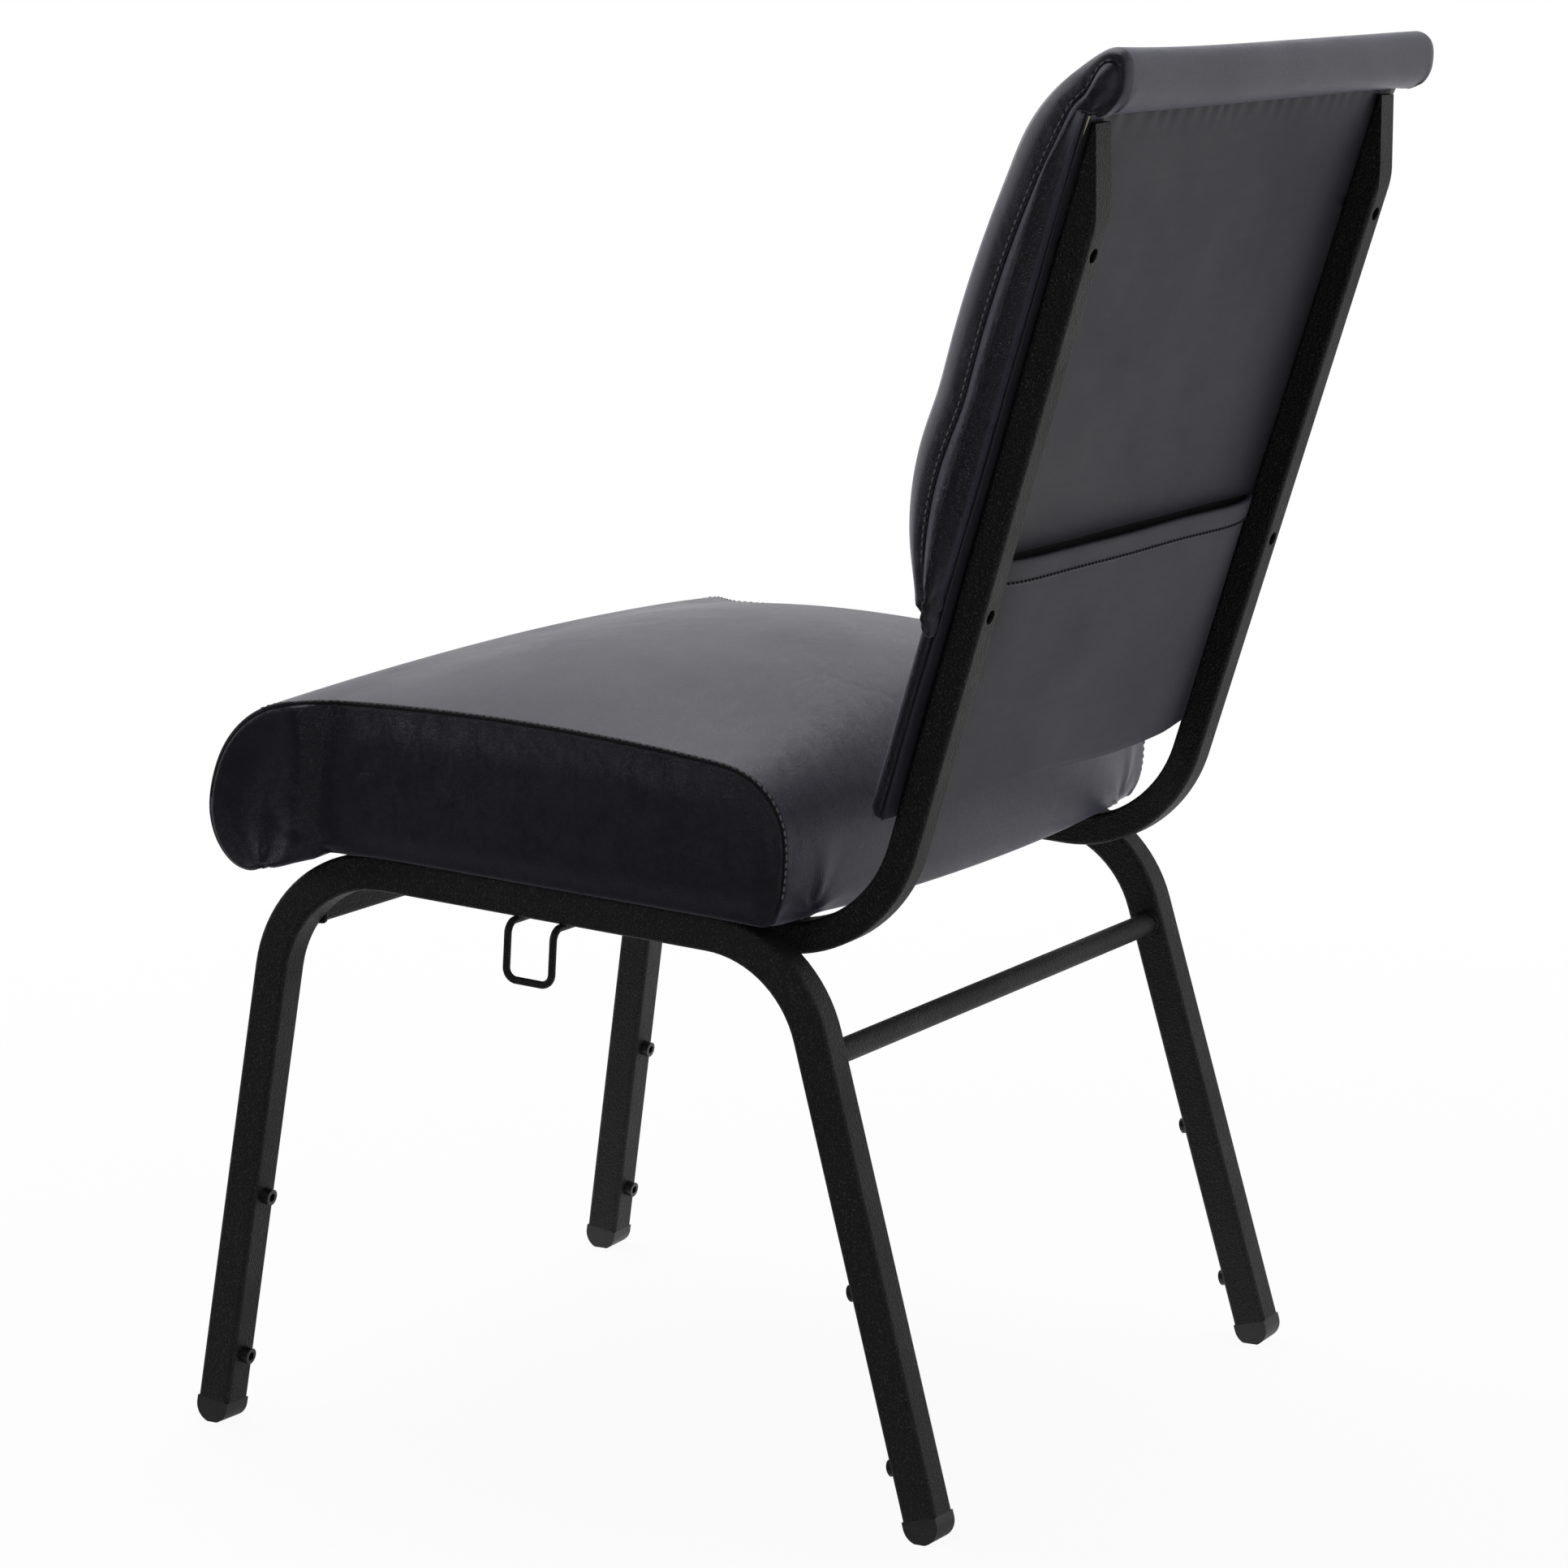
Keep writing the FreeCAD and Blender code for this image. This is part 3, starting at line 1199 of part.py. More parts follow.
pieces = []
for side_name, side in SIDES.items():
    pieces.append(leg_frame(side_name, side))
    pieces.append(back_upright(side_name, side))
    for end in (FRONT, REAR):
        pieces.append(glide(side_name, side, end))
        pieces.append(studs(side_name, side, end))
    pieces.append(back_screws(side_name, side))
pieces.append(front_cross_rail())
pieces.append(rear_stretcher())
pieces.append(seat_strap("middle_seat_strap", "Sizes.front_strap_place"))
pieces.append(seat_strap("rear_seat_strap", "Sizes.rear_strap_place"))
pieces.append(ganging_wire("left_ganging_loop", 1, "Sizes.loop_width", "Sizes.loop_drop"))
pieces.append(ganging_wire("right_ganging_hook", -1, "Sizes.hook_width", "Sizes.hook_drop"))
pieces.append(seat_dust_cloth())
pieces.append(seat_board())
pieces.append(seat_tee_nuts())
pieces.append(seat_screws())
pieces.append(seat_foam())
pieces.append(seat_cushion())
pieces.append(back_board())
pieces.append(back_rear_cover())
pieces.append(lower_back_pad())
pieces.append(back_tee_nuts())
pieces.append(back_foam())
pieces.append(back_cushion())
pieces.append(book_pocket())

doc.recompute()

spans = [piece.Shape.optimalBoundingBox(False, False) for piece in pieces if not piece.Shape.isNull()]
middle = (min(span.YMin for span in spans) + max(span.YMax for span in spans)) / 2
derived.set(derived.getCellFromAlias("plan_shift"), "%.3f" % -middle)
doc.recompute()

for item in doc.Objects:
    if "Invalid" in item.State or "Error" in item.State:
        raise RuntimeError("%s did not compute" % item.Name)
for piece in pieces:
    if piece.Shape.isNull() or not piece.Shape.isValid():
        raise RuntimeError("%s has no valid shape" % piece.Label)

os.makedirs("parts", exist_ok=True)
for piece in pieces:
    piece.Shape.exportStep("parts/%s.step" % piece.Label)
    print("%-24s %2d solids %12.1f mm3" % (piece.Label, len(piece.Shape.Solids), piece.Shape.Volume))
print("centred over its plan by %.3f mm along Y" % worked("plan_shift"))
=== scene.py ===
import math
import random

import bmesh
import bpy
import numpy as np
from mathutils import Matrix, Vector
from mathutils.bvhtree import BVHTree


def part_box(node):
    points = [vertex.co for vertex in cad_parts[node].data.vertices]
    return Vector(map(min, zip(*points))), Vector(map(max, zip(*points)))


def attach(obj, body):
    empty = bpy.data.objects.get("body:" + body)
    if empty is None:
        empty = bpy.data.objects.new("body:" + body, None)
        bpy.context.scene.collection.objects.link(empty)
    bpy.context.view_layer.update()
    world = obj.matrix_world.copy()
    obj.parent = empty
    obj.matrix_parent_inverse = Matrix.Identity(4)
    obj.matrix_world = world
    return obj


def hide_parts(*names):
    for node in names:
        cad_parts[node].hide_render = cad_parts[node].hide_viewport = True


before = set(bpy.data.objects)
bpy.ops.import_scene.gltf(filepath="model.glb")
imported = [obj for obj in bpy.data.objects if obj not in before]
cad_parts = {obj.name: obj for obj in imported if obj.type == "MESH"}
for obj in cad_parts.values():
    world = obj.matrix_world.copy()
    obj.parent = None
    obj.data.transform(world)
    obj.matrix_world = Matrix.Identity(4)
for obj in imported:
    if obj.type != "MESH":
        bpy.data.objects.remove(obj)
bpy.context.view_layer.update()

# Choir chair: sewn covers, foam, stitching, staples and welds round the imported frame. Metres.
# X runs to the sitter's left, the chair faces -Y and Z is up. The seat is made in the rails' own
# frame and the back in the uprights', and each is then carried into the chair's.

MM = 0.001
PLAN_SHIFT = -48.979 * MM
RAIL_HEIGHT, RAIL_FALL = 345 * MM, 3.46
BACK_FOOT, BACK_RECLINE = 194.7 * MM, 17.2


def leaning_frame(along, degrees):
    """A frame at the rails' height that leans back by some degrees."""
    place = Matrix.Translation((0, along + PLAN_SHIFT, RAIL_HEIGHT))
    return place @ Matrix.Rotation(math.radians(-degrees), 4, "X")


RAILS = leaning_frame(0, RAIL_FALL)
BACK = leaning_frame(BACK_FOOT, BACK_RECLINE)

FRAME_COAT_NODES = (
    "left_leg_frame", "right_leg_frame", "left_back_upright", "right_back_upright", "front_cross_rail",
    "rear_stretcher", "middle_seat_strap", "rear_seat_strap", "left_ganging_loop", "right_ganging_hook",
)
LEGS = ("left_front", "left_rear", "right_front", "right_rear")
GLIDE_NODES = [leg + "_glide" for leg in LEGS]
FASTENER_NODES = [leg + "_leg_studs" for leg in LEGS]
FASTENER_NODES += ["left_back_screws", "right_back_screws", "seat_screws"]


# Materials: the effects that finishes share, and then the finishes.

def add_node(tree, kind, inputs=None, **settings):
    """A shader node with its settings, plain values and links made in one go."""
    made = tree.nodes.new(kind)
    for name, setting in settings.items():
        setattr(made, name, setting)
    for name, given in (inputs or {}).items():
        if isinstance(given, bpy.types.NodeSocket):
            tree.links.new(given, made.inputs[name])
        else:
            made.inputs[name].default_value = given
    return made


def start_group(name, inputs, outputs):
    """A node group with its sockets, and its two end nodes."""
    group = bpy.data.node_groups.new(name, "ShaderNodeTree")
    for label, kind, value in inputs:
        socket = group.interface.new_socket(label, in_out="INPUT", socket_type=kind)
        socket.default_value = value
    for label, kind in outputs:
        group.interface.new_socket(label, in_out="OUTPUT", socket_type=kind)
    return group, group.nodes.new("NodeGroupInput"), group.nodes.new("NodeGroupOutput")


def object_point(tree):
    return tree.nodes.new("ShaderNodeTexCoord").outputs["Object"]


def noise(tree, point, scale, detail=3.0, roughness=0.5):
    return add_node(tree, "ShaderNodeTexNoise", {
        "Vector": point, "Scale": scale, "Detail": detail, "Roughness": roughness}).outputs["Fac"]


def spread(tree, value, low, high, low_out, high_out):
    """Map a mask's useful range onto the values that a finish needs."""
    return add_node(tree, "ShaderNodeMapRange", {
        "Value": value, "From Min": low, "From Max": high, "To Min": low_out, "To Max": high_out,
    }).outputs["Result"]


def multiplied(tree, first, second):
    return add_node(tree, "ShaderNodeMath", {0: first, 1: second}, operation="MULTIPLY").outputs[0]


def sum_of(tree, first, second, share):
    """The first value and a share of the second."""
    scaled = multiplied(tree, second, share)
    return add_node(tree, "ShaderNodeMath", {0: first, 1: scaled}, operation="ADD").outputs[0]


def stretched(tree, point, scale):
    """A point scaled unevenly, for marks that run along X."""
    return add_node(tree, "ShaderNodeMapping", {"Vector": point, "Scale": scale}).outputs[0]


def sandy_skin_group():
    """Fine sprayed or moulded grit: a height, and how dull the surface is."""
    group, given, out = start_group(
        "sandy_skin",
        [("Grit Scale", "NodeSocketFloat", 900.0), ("Dull Low", "NodeSocketFloat", 0.4),
         ("Dull High", "NodeSocketFloat", 0.6)],
        [("Height", "NodeSocketFloat"), ("Dullness", "NodeSocketFloat"), ("Speck", "NodeSocketFloat")],
    )
    point = object_point(group)
    fine = noise(group, point, given.outputs["Grit Scale"], detail=2.0, roughness=0.55)
    pebbles = add_node(group, "ShaderNodeTexVoronoi", {
        "Vector": point, "Scale": given.outputs["Grit Scale"]}, feature="SMOOTH_F1").outputs["Distance"]
    height = sum_of(group, fine, pebbles, -0.6)
    cloud = noise(group, point, scale=14.0, detail=4.0, roughness=0.6)
    group.links.new(height, out.inputs["Height"])
    dull = spread(group, cloud, 0.3, 0.7, given.outputs["Dull Low"], given.outputs["Dull High"])
    group.links.new(dull, out.inputs["Dullness"])
    group.links.new(spread(group, fine, 0.56, 0.72, 0.0, 1.0), out.inputs["Speck"])
    return group


def vinyl_skin_group():
    """Upholstery vinyl: pebbled grain, stretch lines, and a cloudy shine."""
    group, given, out = start_group(
        "vinyl_skin",
        [("Grain Scale", "NodeSocketFloat", 1100.0), ("Crease Share", "NodeSocketFloat", 0.5),
         ("Dull Low", "NodeSocketFloat", 0.33), ("Dull High", "NodeSocketFloat", 0.45)],
        [("Height", "NodeSocketFloat"), ("Dullness", "NodeSocketFloat"), ("Tone", "NodeSocketFloat")],
    )
    point = object_point(group)
    warp = add_node(group, "ShaderNodeTexNoise", {"Vector": point, "Scale": 60.0}).outputs["Color"]
    bent = add_node(group, "ShaderNodeMix", {0: 0.012, 4: point, 5: warp}, data_type="VECTOR").outputs[1]
    grain = add_node(
        group, "ShaderNodeTexVoronoi", {"Vector": bent, "Scale": given.outputs["Grain Scale"]},
        feature="DISTANCE_TO_EDGE").outputs["Distance"]
    pebble = spread(group, grain, 0.0, 0.25, 0.0, 1.0)
    along = stretched(group, point, (16.0, 260.0, 260.0))
    lines = noise(group, along, scale=1.0, detail=4.0, roughness=0.65)
    soft = noise(group, point, scale=38.0, detail=4.0, roughness=0.6)
    creases = multiplied(group, lines, given.outputs["Crease Share"])
    height = sum_of(group, pebble, creases, 1.0)
    height = sum_of(group, height, soft, 0.8)
    group.links.new(height, out.inputs["Height"])
    cloud = sum_of(group, noise(group, point, scale=9.0, detail=4.0, roughness=0.6), lines, 0.25)
    dull = spread(group, cloud, 0.45, 0.8, given.outputs["Dull Low"], given.outputs["Dull High"])
    group.links.new(dull, out.inputs["Dullness"])
    group.links.new(spread(group, cloud, 0.4, 0.85, 0.0, 1.0), out.inputs["Tone"])
    return group


SANDY_SKIN = sandy_skin_group()
VINYL_SKIN = vinyl_skin_group()
BLUISH_SHEEN, BLUISH_SHINE = (0.72, 0.70, 1.0, 1), (0.90, 0.88, 1.0, 1)
GRAIN_DEPTH = 0.0004


def start_material(name):
    material = bpy.data.materials.new(name)
    material.use_nodes = True
    tree = material.node_tree
    tree.nodes.clear()
    surface = tree.nodes.new("ShaderNodeBsdfPrincipled")
    out = tree.nodes.new("ShaderNodeOutputMaterial")
    tree.links.new(surface.outputs[0], out.inputs["Surface"])
    return material, tree, surface


def two_tone(tree, mask, dark, light):
    """A colour that goes from dark to light with the mask."""
    tones = {0: mask, 6: (*dark, 1), 7: (*light, 1)}
    return add_node(tree, "ShaderNodeMix", tones, data_type="RGBA").outputs[2]


def raise_grain(tree, surface, height, strength, depth):
    bump = add_node(tree, "ShaderNodeBump", {"Height": height, "Strength": strength, "Distance": depth})
    tree.links.new(bump.outputs[0], surface.inputs["Normal"])


def skinned_material(name, effect, tone, dark, light, dull, strength, depth):
    """A material whose tone, dullness and height come from a shared effect."""
    material, tree, surface = start_material(name)
    skin = add_node(tree, "ShaderNodeGroup", node_tree=effect)
    skin.inputs["Dull Low"].default_value, skin.inputs["Dull High"].default_value = dull
    tree.links.new(two_tone(tree, skin.outputs[tone], dark, light), surface.inputs["Base Color"])
    tree.links.new(skin.outputs["Dullness"], surface.inputs["Roughness"])
    raise_grain(tree, surface, skin.outputs["Height"], strength, depth)
    return material, skin, surface


def coat_material(name, dark, light, grit, dull, strength, depth, specular=0.5, metallic=0.0):
    """A hard finish with fine grit: powder coat, moulded plastic, oxide or zinc."""
    material, skin, surface = skinned_material(
        name, SANDY_SKIN, "Speck", dark, light, dull, strength, depth)
    skin.inputs["Grit Scale"].default_value = grit
    surface.inputs["Specular IOR Level"].default_value = specular
    surface.inputs["Metallic"].default_value = metallic
    return material


def vinyl_material(name, dark, light, dull, creases, strength, sheen):
    """Upholstery vinyl with a soft bluish shine."""
    material, skin, surface = skinned_material(
        name, VINYL_SKIN, "Tone", dark, light, dull, strength, GRAIN_DEPTH)
    skin.inputs["Crease Share"].default_value = creases
    surface.inputs["Specular IOR Level"].default_value = 0.42
    surface.inputs["Sheen Weight"].default_value = sheen
    surface.inputs["Sheen Roughness"].default_value = 0.45
    surface.inputs["Sheen Tint"].default_value = BLUISH_SHEEN
    surface.inputs["Specular Tint"].default_value = BLUISH_SHINE
    return material


def woven_material(name, dark, light, scale):
    """Thread, foam, felted cloth or near-black painted shade: a tone and a height from noise at one scale.
    """
    material, tree, surface = start_material(name)
    mask = noise(tree, object_point(tree), scale, detail=5.0, roughness=0.65)
    tree.links.new(two_tone(tree, mask, dark, light), surface.inputs["Base Color"])
    tree.links.new(spread(tree, mask, 0.3, 0.7, 0.75, 0.95), surface.inputs["Roughness"])
    surface.inputs["Specular IOR Level"].default_value = 0.25
    raise_grain(tree, surface, mask, strength=0.5, depth=0.0006)
    return material


def plywood_material():
    """Bare birch ply: long grain on the faces and thin layers on the edges."""
    material, tree, surface = start_material("bare_plywood")
    point = object_point(tree)
    grain = noise(tree, stretched(tree, point, (8.0, 90.0, 90.0)), scale=1.0, detail=6.0, roughness=0.6)
    layers = add_node(tree, "ShaderNodeTexWave", {"Vector": point, "Scale": 110.0, "Distortion": 0.6},
                      bands_direction="Z").outputs["Fac"]
    mask = sum_of(tree, grain, layers, 0.35)
    tone = spread(tree, mask, 0.3, 1.0, 0, 1)
    colour = two_tone(tree, tone, dark=(0.42, 0.27, 0.14), light=(0.66, 0.5, 0.31))
    tree.links.new(colour, surface.inputs["Base Color"])
    tree.links.new(spread(tree, grain, 0.3, 0.7, 0.55, 0.75), surface.inputs["Roughness"])
    raise_grain(tree, surface, mask, 0.25, GRAIN_DEPTH)
    return material


POWDER_COAT = coat_material(
    "sandy_powder_coat", dark=(0.005, 0.005, 0.0051), light=(0.03, 0.03, 0.03), grit=820.0,
    dull=(0.45, 0.58), strength=1.0, depth=0.0009, specular=0.3)
GLIDE_PLASTIC = coat_material(
    "moulded_glide_plastic", dark=(0.010, 0.010, 0.0105), light=(0.02, 0.02, 0.02), grit=700.0,
    dull=(0.42, 0.55), strength=0.3, depth=0.0003)
BLACK_OXIDE = coat_material(
    "oxide_black_fasteners", dark=(0.006, 0.006, 0.0065), light=(0.02, 0.02, 0.02), grit=1600.0,
    dull=(0.28, 0.4), strength=0.25, depth=0.0002)
ZINC = coat_material(
    "zinc_plate", dark=(0.42, 0.43, 0.45), light=(0.62, 0.63, 0.65), grit=500.0,
    dull=(0.3, 0.45), strength=0.2, depth=0.0002, metallic=1.0)
VINYL = vinyl_material(
    "black_vinyl", dark=(0.0036, 0.0037, 0.0046), light=(0.0062, 0.0062, 0.0082),
    dull=(0.28, 0.38), creases=0.6, strength=0.3, sheen=0.22)
PANEL_VINYL = vinyl_material(
    "black_vinyl_flat_panel", dark=(0.0085, 0.0083, 0.0102), light=(0.0108, 0.0104, 0.0138),
    dull=(0.5, 0.6), creases=0.8, strength=0.18, sheen=0.07)
# Black thread painted lighter than its own tone, standing in for the glints on its stitches.
GLINT_PAINTED_THREAD = woven_material("black_thread_painted_glint", dark=(0.05, 0.05, 0.052), light=(0.13, 0.13, 0.135), scale=3000.0)
FOAM = woven_material("cushion_foam", dark=(0.42, 0.36, 0.22), light=(0.62, 0.56, 0.38), scale=700.0)
DUST_CLOTH = woven_material(
    "felted_dust_cloth", dark=(0.006, 0.006, 0.0065), light=(0.022, 0.022, 0.023), scale=1500.0)
# Near-black painted shade for the seams' creases and the inside of the book pocket; the pocket hem's
# stitches use it too.
PAINTED_SHADE_AND_STITCH_BLACK = woven_material(
    "painted_shade_and_stitch_black", dark=(0.003, 0.003, 0.003), light=(0.007, 0.007, 0.007), scale=1800.0)
PLYWOOD = plywood_material()


def dress(names, material):
    """Give rigid pieces of the frame their finish."""
    for name in names:
        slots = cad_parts[name].data.materials
        slots.clear()
        slots.append(material)


dress(FRAME_COAT_NODES, POWDER_COAT)
dress(GLIDE_NODES, GLIDE_PLASTIC)
dress(FASTENER_NODES, BLACK_OXIDE)
dress(("seat_tee_nuts", "back_tee_nuts"), ZINC)
dress(("seat_board", "back_board"), PLYWOOD)


# Helpers for meshes.

SWELL_FRAMES = 20
SEAM_DEPTH, SEAM_WIDTH, SEAM_SAMPLE = 0.0006, 0.0012, 0.0008
ACROSS, ALONG = (1, 0, 0), (0, 1, 0)


def make_piece(name, points, faces, material, smooth=True):
    """A mesh object with one material."""
    mesh = bpy.data.meshes.new(name)
    mesh.from_pydata([tuple(p) for p in points], [], [tuple(f) for f in faces])
    mesh.validate()
    mesh.materials.append(material)
    mesh.polygons.foreach_set("use_smooth", [smooth] * len(mesh.polygons))
    piece = bpy.data.objects.new(name, mesh)
    bpy.context.scene.collection.objects.link(piece)
    return piece


def seat_in(piece, local):
    """Carry a piece from the rails' or the back's own frame into the chair's, for good."""
    piece.data.transform(local)
    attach(piece, "root")


def vectors_of(items, field):
    flat = np.empty(len(items) * 3, np.float64)
    items.foreach_get(field, flat)
    return flat.reshape(-1, 3)


def corners_of(mesh):
    return vectors_of(mesh.vertices, "co")


def normals_of(mesh):
    return vectors_of(mesh.vertex_normals, "vector")


def set_corners(mesh, points):
    mesh.vertices.foreach_set("co", np.asarray(points, np.float64).ravel())
    mesh.update()


def through_three(a, via, b, count):
    """Points after a and up to b on the circle through via, or on a straight line without one."""
    a, b = np.array(a, float), np.array(b, float)
    if via is None:
        return [a + (b - a) * k / count for k in range(1, count + 1)]
    via = np.array(via, float)
    rows = 2 * np.array([via - a, b - a])
    centre = np.linalg.solve(rows, np.array([via @ via - a @ a, b @ b - a @ a]))
    start, middle, end = (math.atan2(*(p - centre)[::-1]) for p in (a, via, b))
    turn = (end - start) % (2 * math.pi)
    if (middle - start) % (2 * math.pi) > turn:
        turn -= 2 * math.pi
    radius = np.linalg.norm(a - centre)
    angles = [start + turn * k / count for k in range(1, count + 1)]
    return [centre + radius * np.array([math.cos(t), math.sin(t)]) for t in angles]


def closed_outline(start, runs, held, passes):
    """A closed outline of runs, with every joint but the held ones eased into its neighbours."""
    here, points, marks = start, [], []
    for via, end, count in runs:
        points += through_three(here, via, end, count)
        marks.append(len(points) - 1)
        here = end
    points = np.array(points)
    free = np.ones(len(points), bool)
    for run in held:
        free[marks[run]] = False
    for _ in range(passes):
        eased = (np.roll(points, 1, 0) + np.roll(points, -1, 0)) / 2
        points[free] += 0.5 * (eased - points)[free]
    return points


def ease(value):
    """A smooth step from 0 to 1."""
    value = np.clip(value, 0.0, 1.0)
    return value * value * (3 - 2 * value)


def shell_mesh(columns, end_panel, rings):
    """Quads over a row of closed outlines, with an end panel of nested rings at each side.

    columns is an array of outlines' points, side to side. end_panel gives the points of a ring
    from an end outline and how far in it lies, from 0 at the seam to 1 along its middle line.
    """
    rows, around = columns.shape[:2]
    points = columns.reshape(-1, 3).tolist()
    faces = []
    for i in range(rows - 1):
        for j in range(around):
            k = (j + 1) % around
            faces.append((i * around + j, i * around + k, (i + 1) * around + k, (i + 1) * around + j))
    for last in (False, True):
        outline = columns[-1] if last else columns[0]
        before = [((rows - 1) * around if last else 0) + j for j in range(around)]
        for depth in rings:
            ring = end_panel(outline, depth, 1 if last else -1)
            here = list(range(len(points), len(points) + around))
            points += ring.tolist()
            for j in range(around):
                k = (j + 1) % around
                quad = (before[j], before[k], here[k], here[j])
                faces.append(quad if last else quad[::-1])
            before = here
    return np.array(points), faces


def weld_doubles(piece, distance=0.00005):
    """Join points that lie together, and turn all faces outward."""
    work = bmesh.new()
    work.from_mesh(piece.data)
    bmesh.ops.remove_doubles(work, verts=work.verts, dist=distance)
    bmesh.ops.recalc_face_normals(work, faces=work.faces)
    work.to_mesh(piece.data)
    work.free()


def let_swell(piece, held, pressure, furthest, slack):
    """Blow a cover out over its filling as cloth, with its seams and edges held, then keep the result."""
    group = piece.vertex_groups.new(name="held")
    for weight, indices in held:
        group.add([int(i) for i in indices], weight, "REPLACE")
    before = corners_of(piece.data)
    cloth = piece.modifiers.new("swell", "CLOTH")
    settings = cloth.settings
    settings.quality = 6
    settings.mass = 0.35
    settings.tension_stiffness = 18
    settings.compression_stiffness = 18
    settings.shear_stiffness = 8
    settings.bending_stiffness = 1.5
    settings.use_pressure = True
    settings.uniform_pressure_force = pressure
    settings.shrink_min = -slack
    settings.vertex_group_mass = "held"
    settings.effector_weights.gravity = 0
    cloth.collision_settings.use_collision = False
    scene = bpy.context.scene
    for number in range(1, SWELL_FRAMES + 1):
        scene.frame_set(number)
    grown = piece.evaluated_get(bpy.context.evaluated_depsgraph_get())
    after = corners_of(grown.data)
    piece.modifiers.remove(cloth)
    scene.frame_set(1)
    moved = after - before
    far = np.linalg.norm(moved, axis=1, keepdims=True)
    set_corners(piece.data, before + moved * (furthest * np.tanh(far / furthest) / np.maximum(far, 1e-9)))


def divide(piece):
    """One Catmull-Clark step, kept in the mesh."""
    smooth = piece.modifiers.new("divide", "SUBSURF")
    smooth.levels = smooth.render_levels = 1
    grown = piece.evaluated_get(bpy.context.evaluated_depsgraph_get())
    mesh = bpy.data.meshes.new_from_object(grown)
    piece.modifiers.remove(smooth)
    piece.data = mesh
    mesh.polygons.foreach_set("use_smooth", [True] * len(mesh.polygons))


def near_line(points, line):
    """Each point's distance to a line of close-set points, worked out a batch at a time."""
    best, batch = np.full(len(points), 1e9), 40
    for start in range(0, len(line), batch):
        part = line[start:start + batch]
        gap = np.linalg.norm(points[:, None, :] - part[None], axis=2).min(1)
        best = np.minimum(best, gap)
    return best


def fine_line(line, step):
    """A line's points set evenly apart."""
    lengths = np.concatenate([[0], np.cumsum(np.linalg.norm(np.diff(line, axis=0), axis=1))])
    places = np.arange(0, lengths[-1], step)
    return np.stack([np.interp(places, lengths, line[:, axis]) for axis in range(3)], 1)


def press_seam(piece, line):
    """Draw the cover in along a seam."""
    points, normals = corners_of(piece.data), normals_of(piece.data)
    close = near_line(points, fine_line(line, SEAM_SAMPLE))
    set_corners(piece.data, points - normals * (SEAM_DEPTH * np.exp(-(close / SEAM_WIDTH) ** 2))[:, None])


def gather(piece, centre, axis, folds, reach, depth, turn):
    """Folds that fan out, over an axis and upwards, from the point where a cover is pulled tight."""
    points, normals = corners_of(piece.data), normals_of(piece.data)
    offset = points - np.array(centre)
    far = np.linalg.norm(offset, axis=1)
    angle = np.arctan2(offset @ np.array(axis), offset[:, 2])
    strength = depth * np.exp(-(far / reach) ** 2) * ease(far / (0.18 * reach))
    wave = np.cos(folds * angle + turn) + 0.35 * np.cos(folds * 1.7 * angle + 2 * turn)
    set_corners(piece.data, points + normals * (strength * wave)[:, None])


STITCH_STEP, STITCH_LENGTH, THREAD_RADIUS = 0.0046, 0.0036, 0.0005
STITCH_END_RADIUS, STITCH_DIP = 0.00006, 0.00045


def stitch(name, cover, line, material=GLINT_PAINTED_THREAD, step=STITCH_STEP, length=STITCH_LENGTH,
           thread=THREAD_RADIUS, lift=0.0003):
    """A run of stitches laid on a cover along a line."""
    mesh = cover.data
    tree = BVHTree.FromPolygons([v.co for v in mesh.vertices], [p.vertices for p in mesh.polygons])
    places = fine_line(line, step)
    points, faces = [], []
    sides, stations = 6, 5
    for here, ahead in zip(places, places[1:]):
        spot, normal, _, _ = tree.find_nearest(Vector((here + ahead) / 2))
        direction = Vector(ahead - here).normalized()
        side = normal.cross(direction).normalized()
        first = len(points)
        for k in range(stations):
            t = k / (stations - 1) * 2 - 1
            radius = math.sqrt(max(0.0, 1 - t ** 4)) * thread + STITCH_END_RADIUS
            dip = normal * (lift - STITCH_DIP * t * t)
            for j in range(sides):
                angle = 2 * math.pi * j / sides
                points.append(spot + direction * (t * length / 2) + dip
                              + (normal * math.cos(angle) + side * math.sin(angle)) * radius)
        for k in range(stations - 1):
            for j in range(sides):
                a, b = first + k * sides + j, first + k * sides + (j + 1) % sides
                faces.append((a, b, b + sides, a + sides))
        faces.append(tuple(first + j for j in reversed(range(sides))))
        faces.append(tuple(first + (stations - 1) * sides + j for j in range(sides)))
    piece = make_piece(name, points, faces, material)
    return piece


def painted_seam_shade(name, cover, line):
    """Painted shade: a near-black line laid where two panels of a cover meet, standing for the shade in the
    seam's crease.
    """
    return stitch(name, cover, line, PAINTED_SHADE_AND_STITCH_BLACK, step=0.0022, length=0.0040, thread=0.0006, lift=0.0)


def finish_foam(foam, local):
    weld_doubles(foam)
    seat_in(foam, local)


def side_seams(rows, around):
    """The points of a shell's first and last outlines, where its side panels are sewn on."""
    return [list(range(around)), list(range((rows - 1) * around, rows * around))]


def beside_seams(settled, seams, around, share):
    """Lines a share of the way from each side seam to the next outline in."""
    return [settled[[i + step * around for i in ring]] * share + settled[ring] * (1 - share)
            for ring, step in zip(seams, (1, -1))]


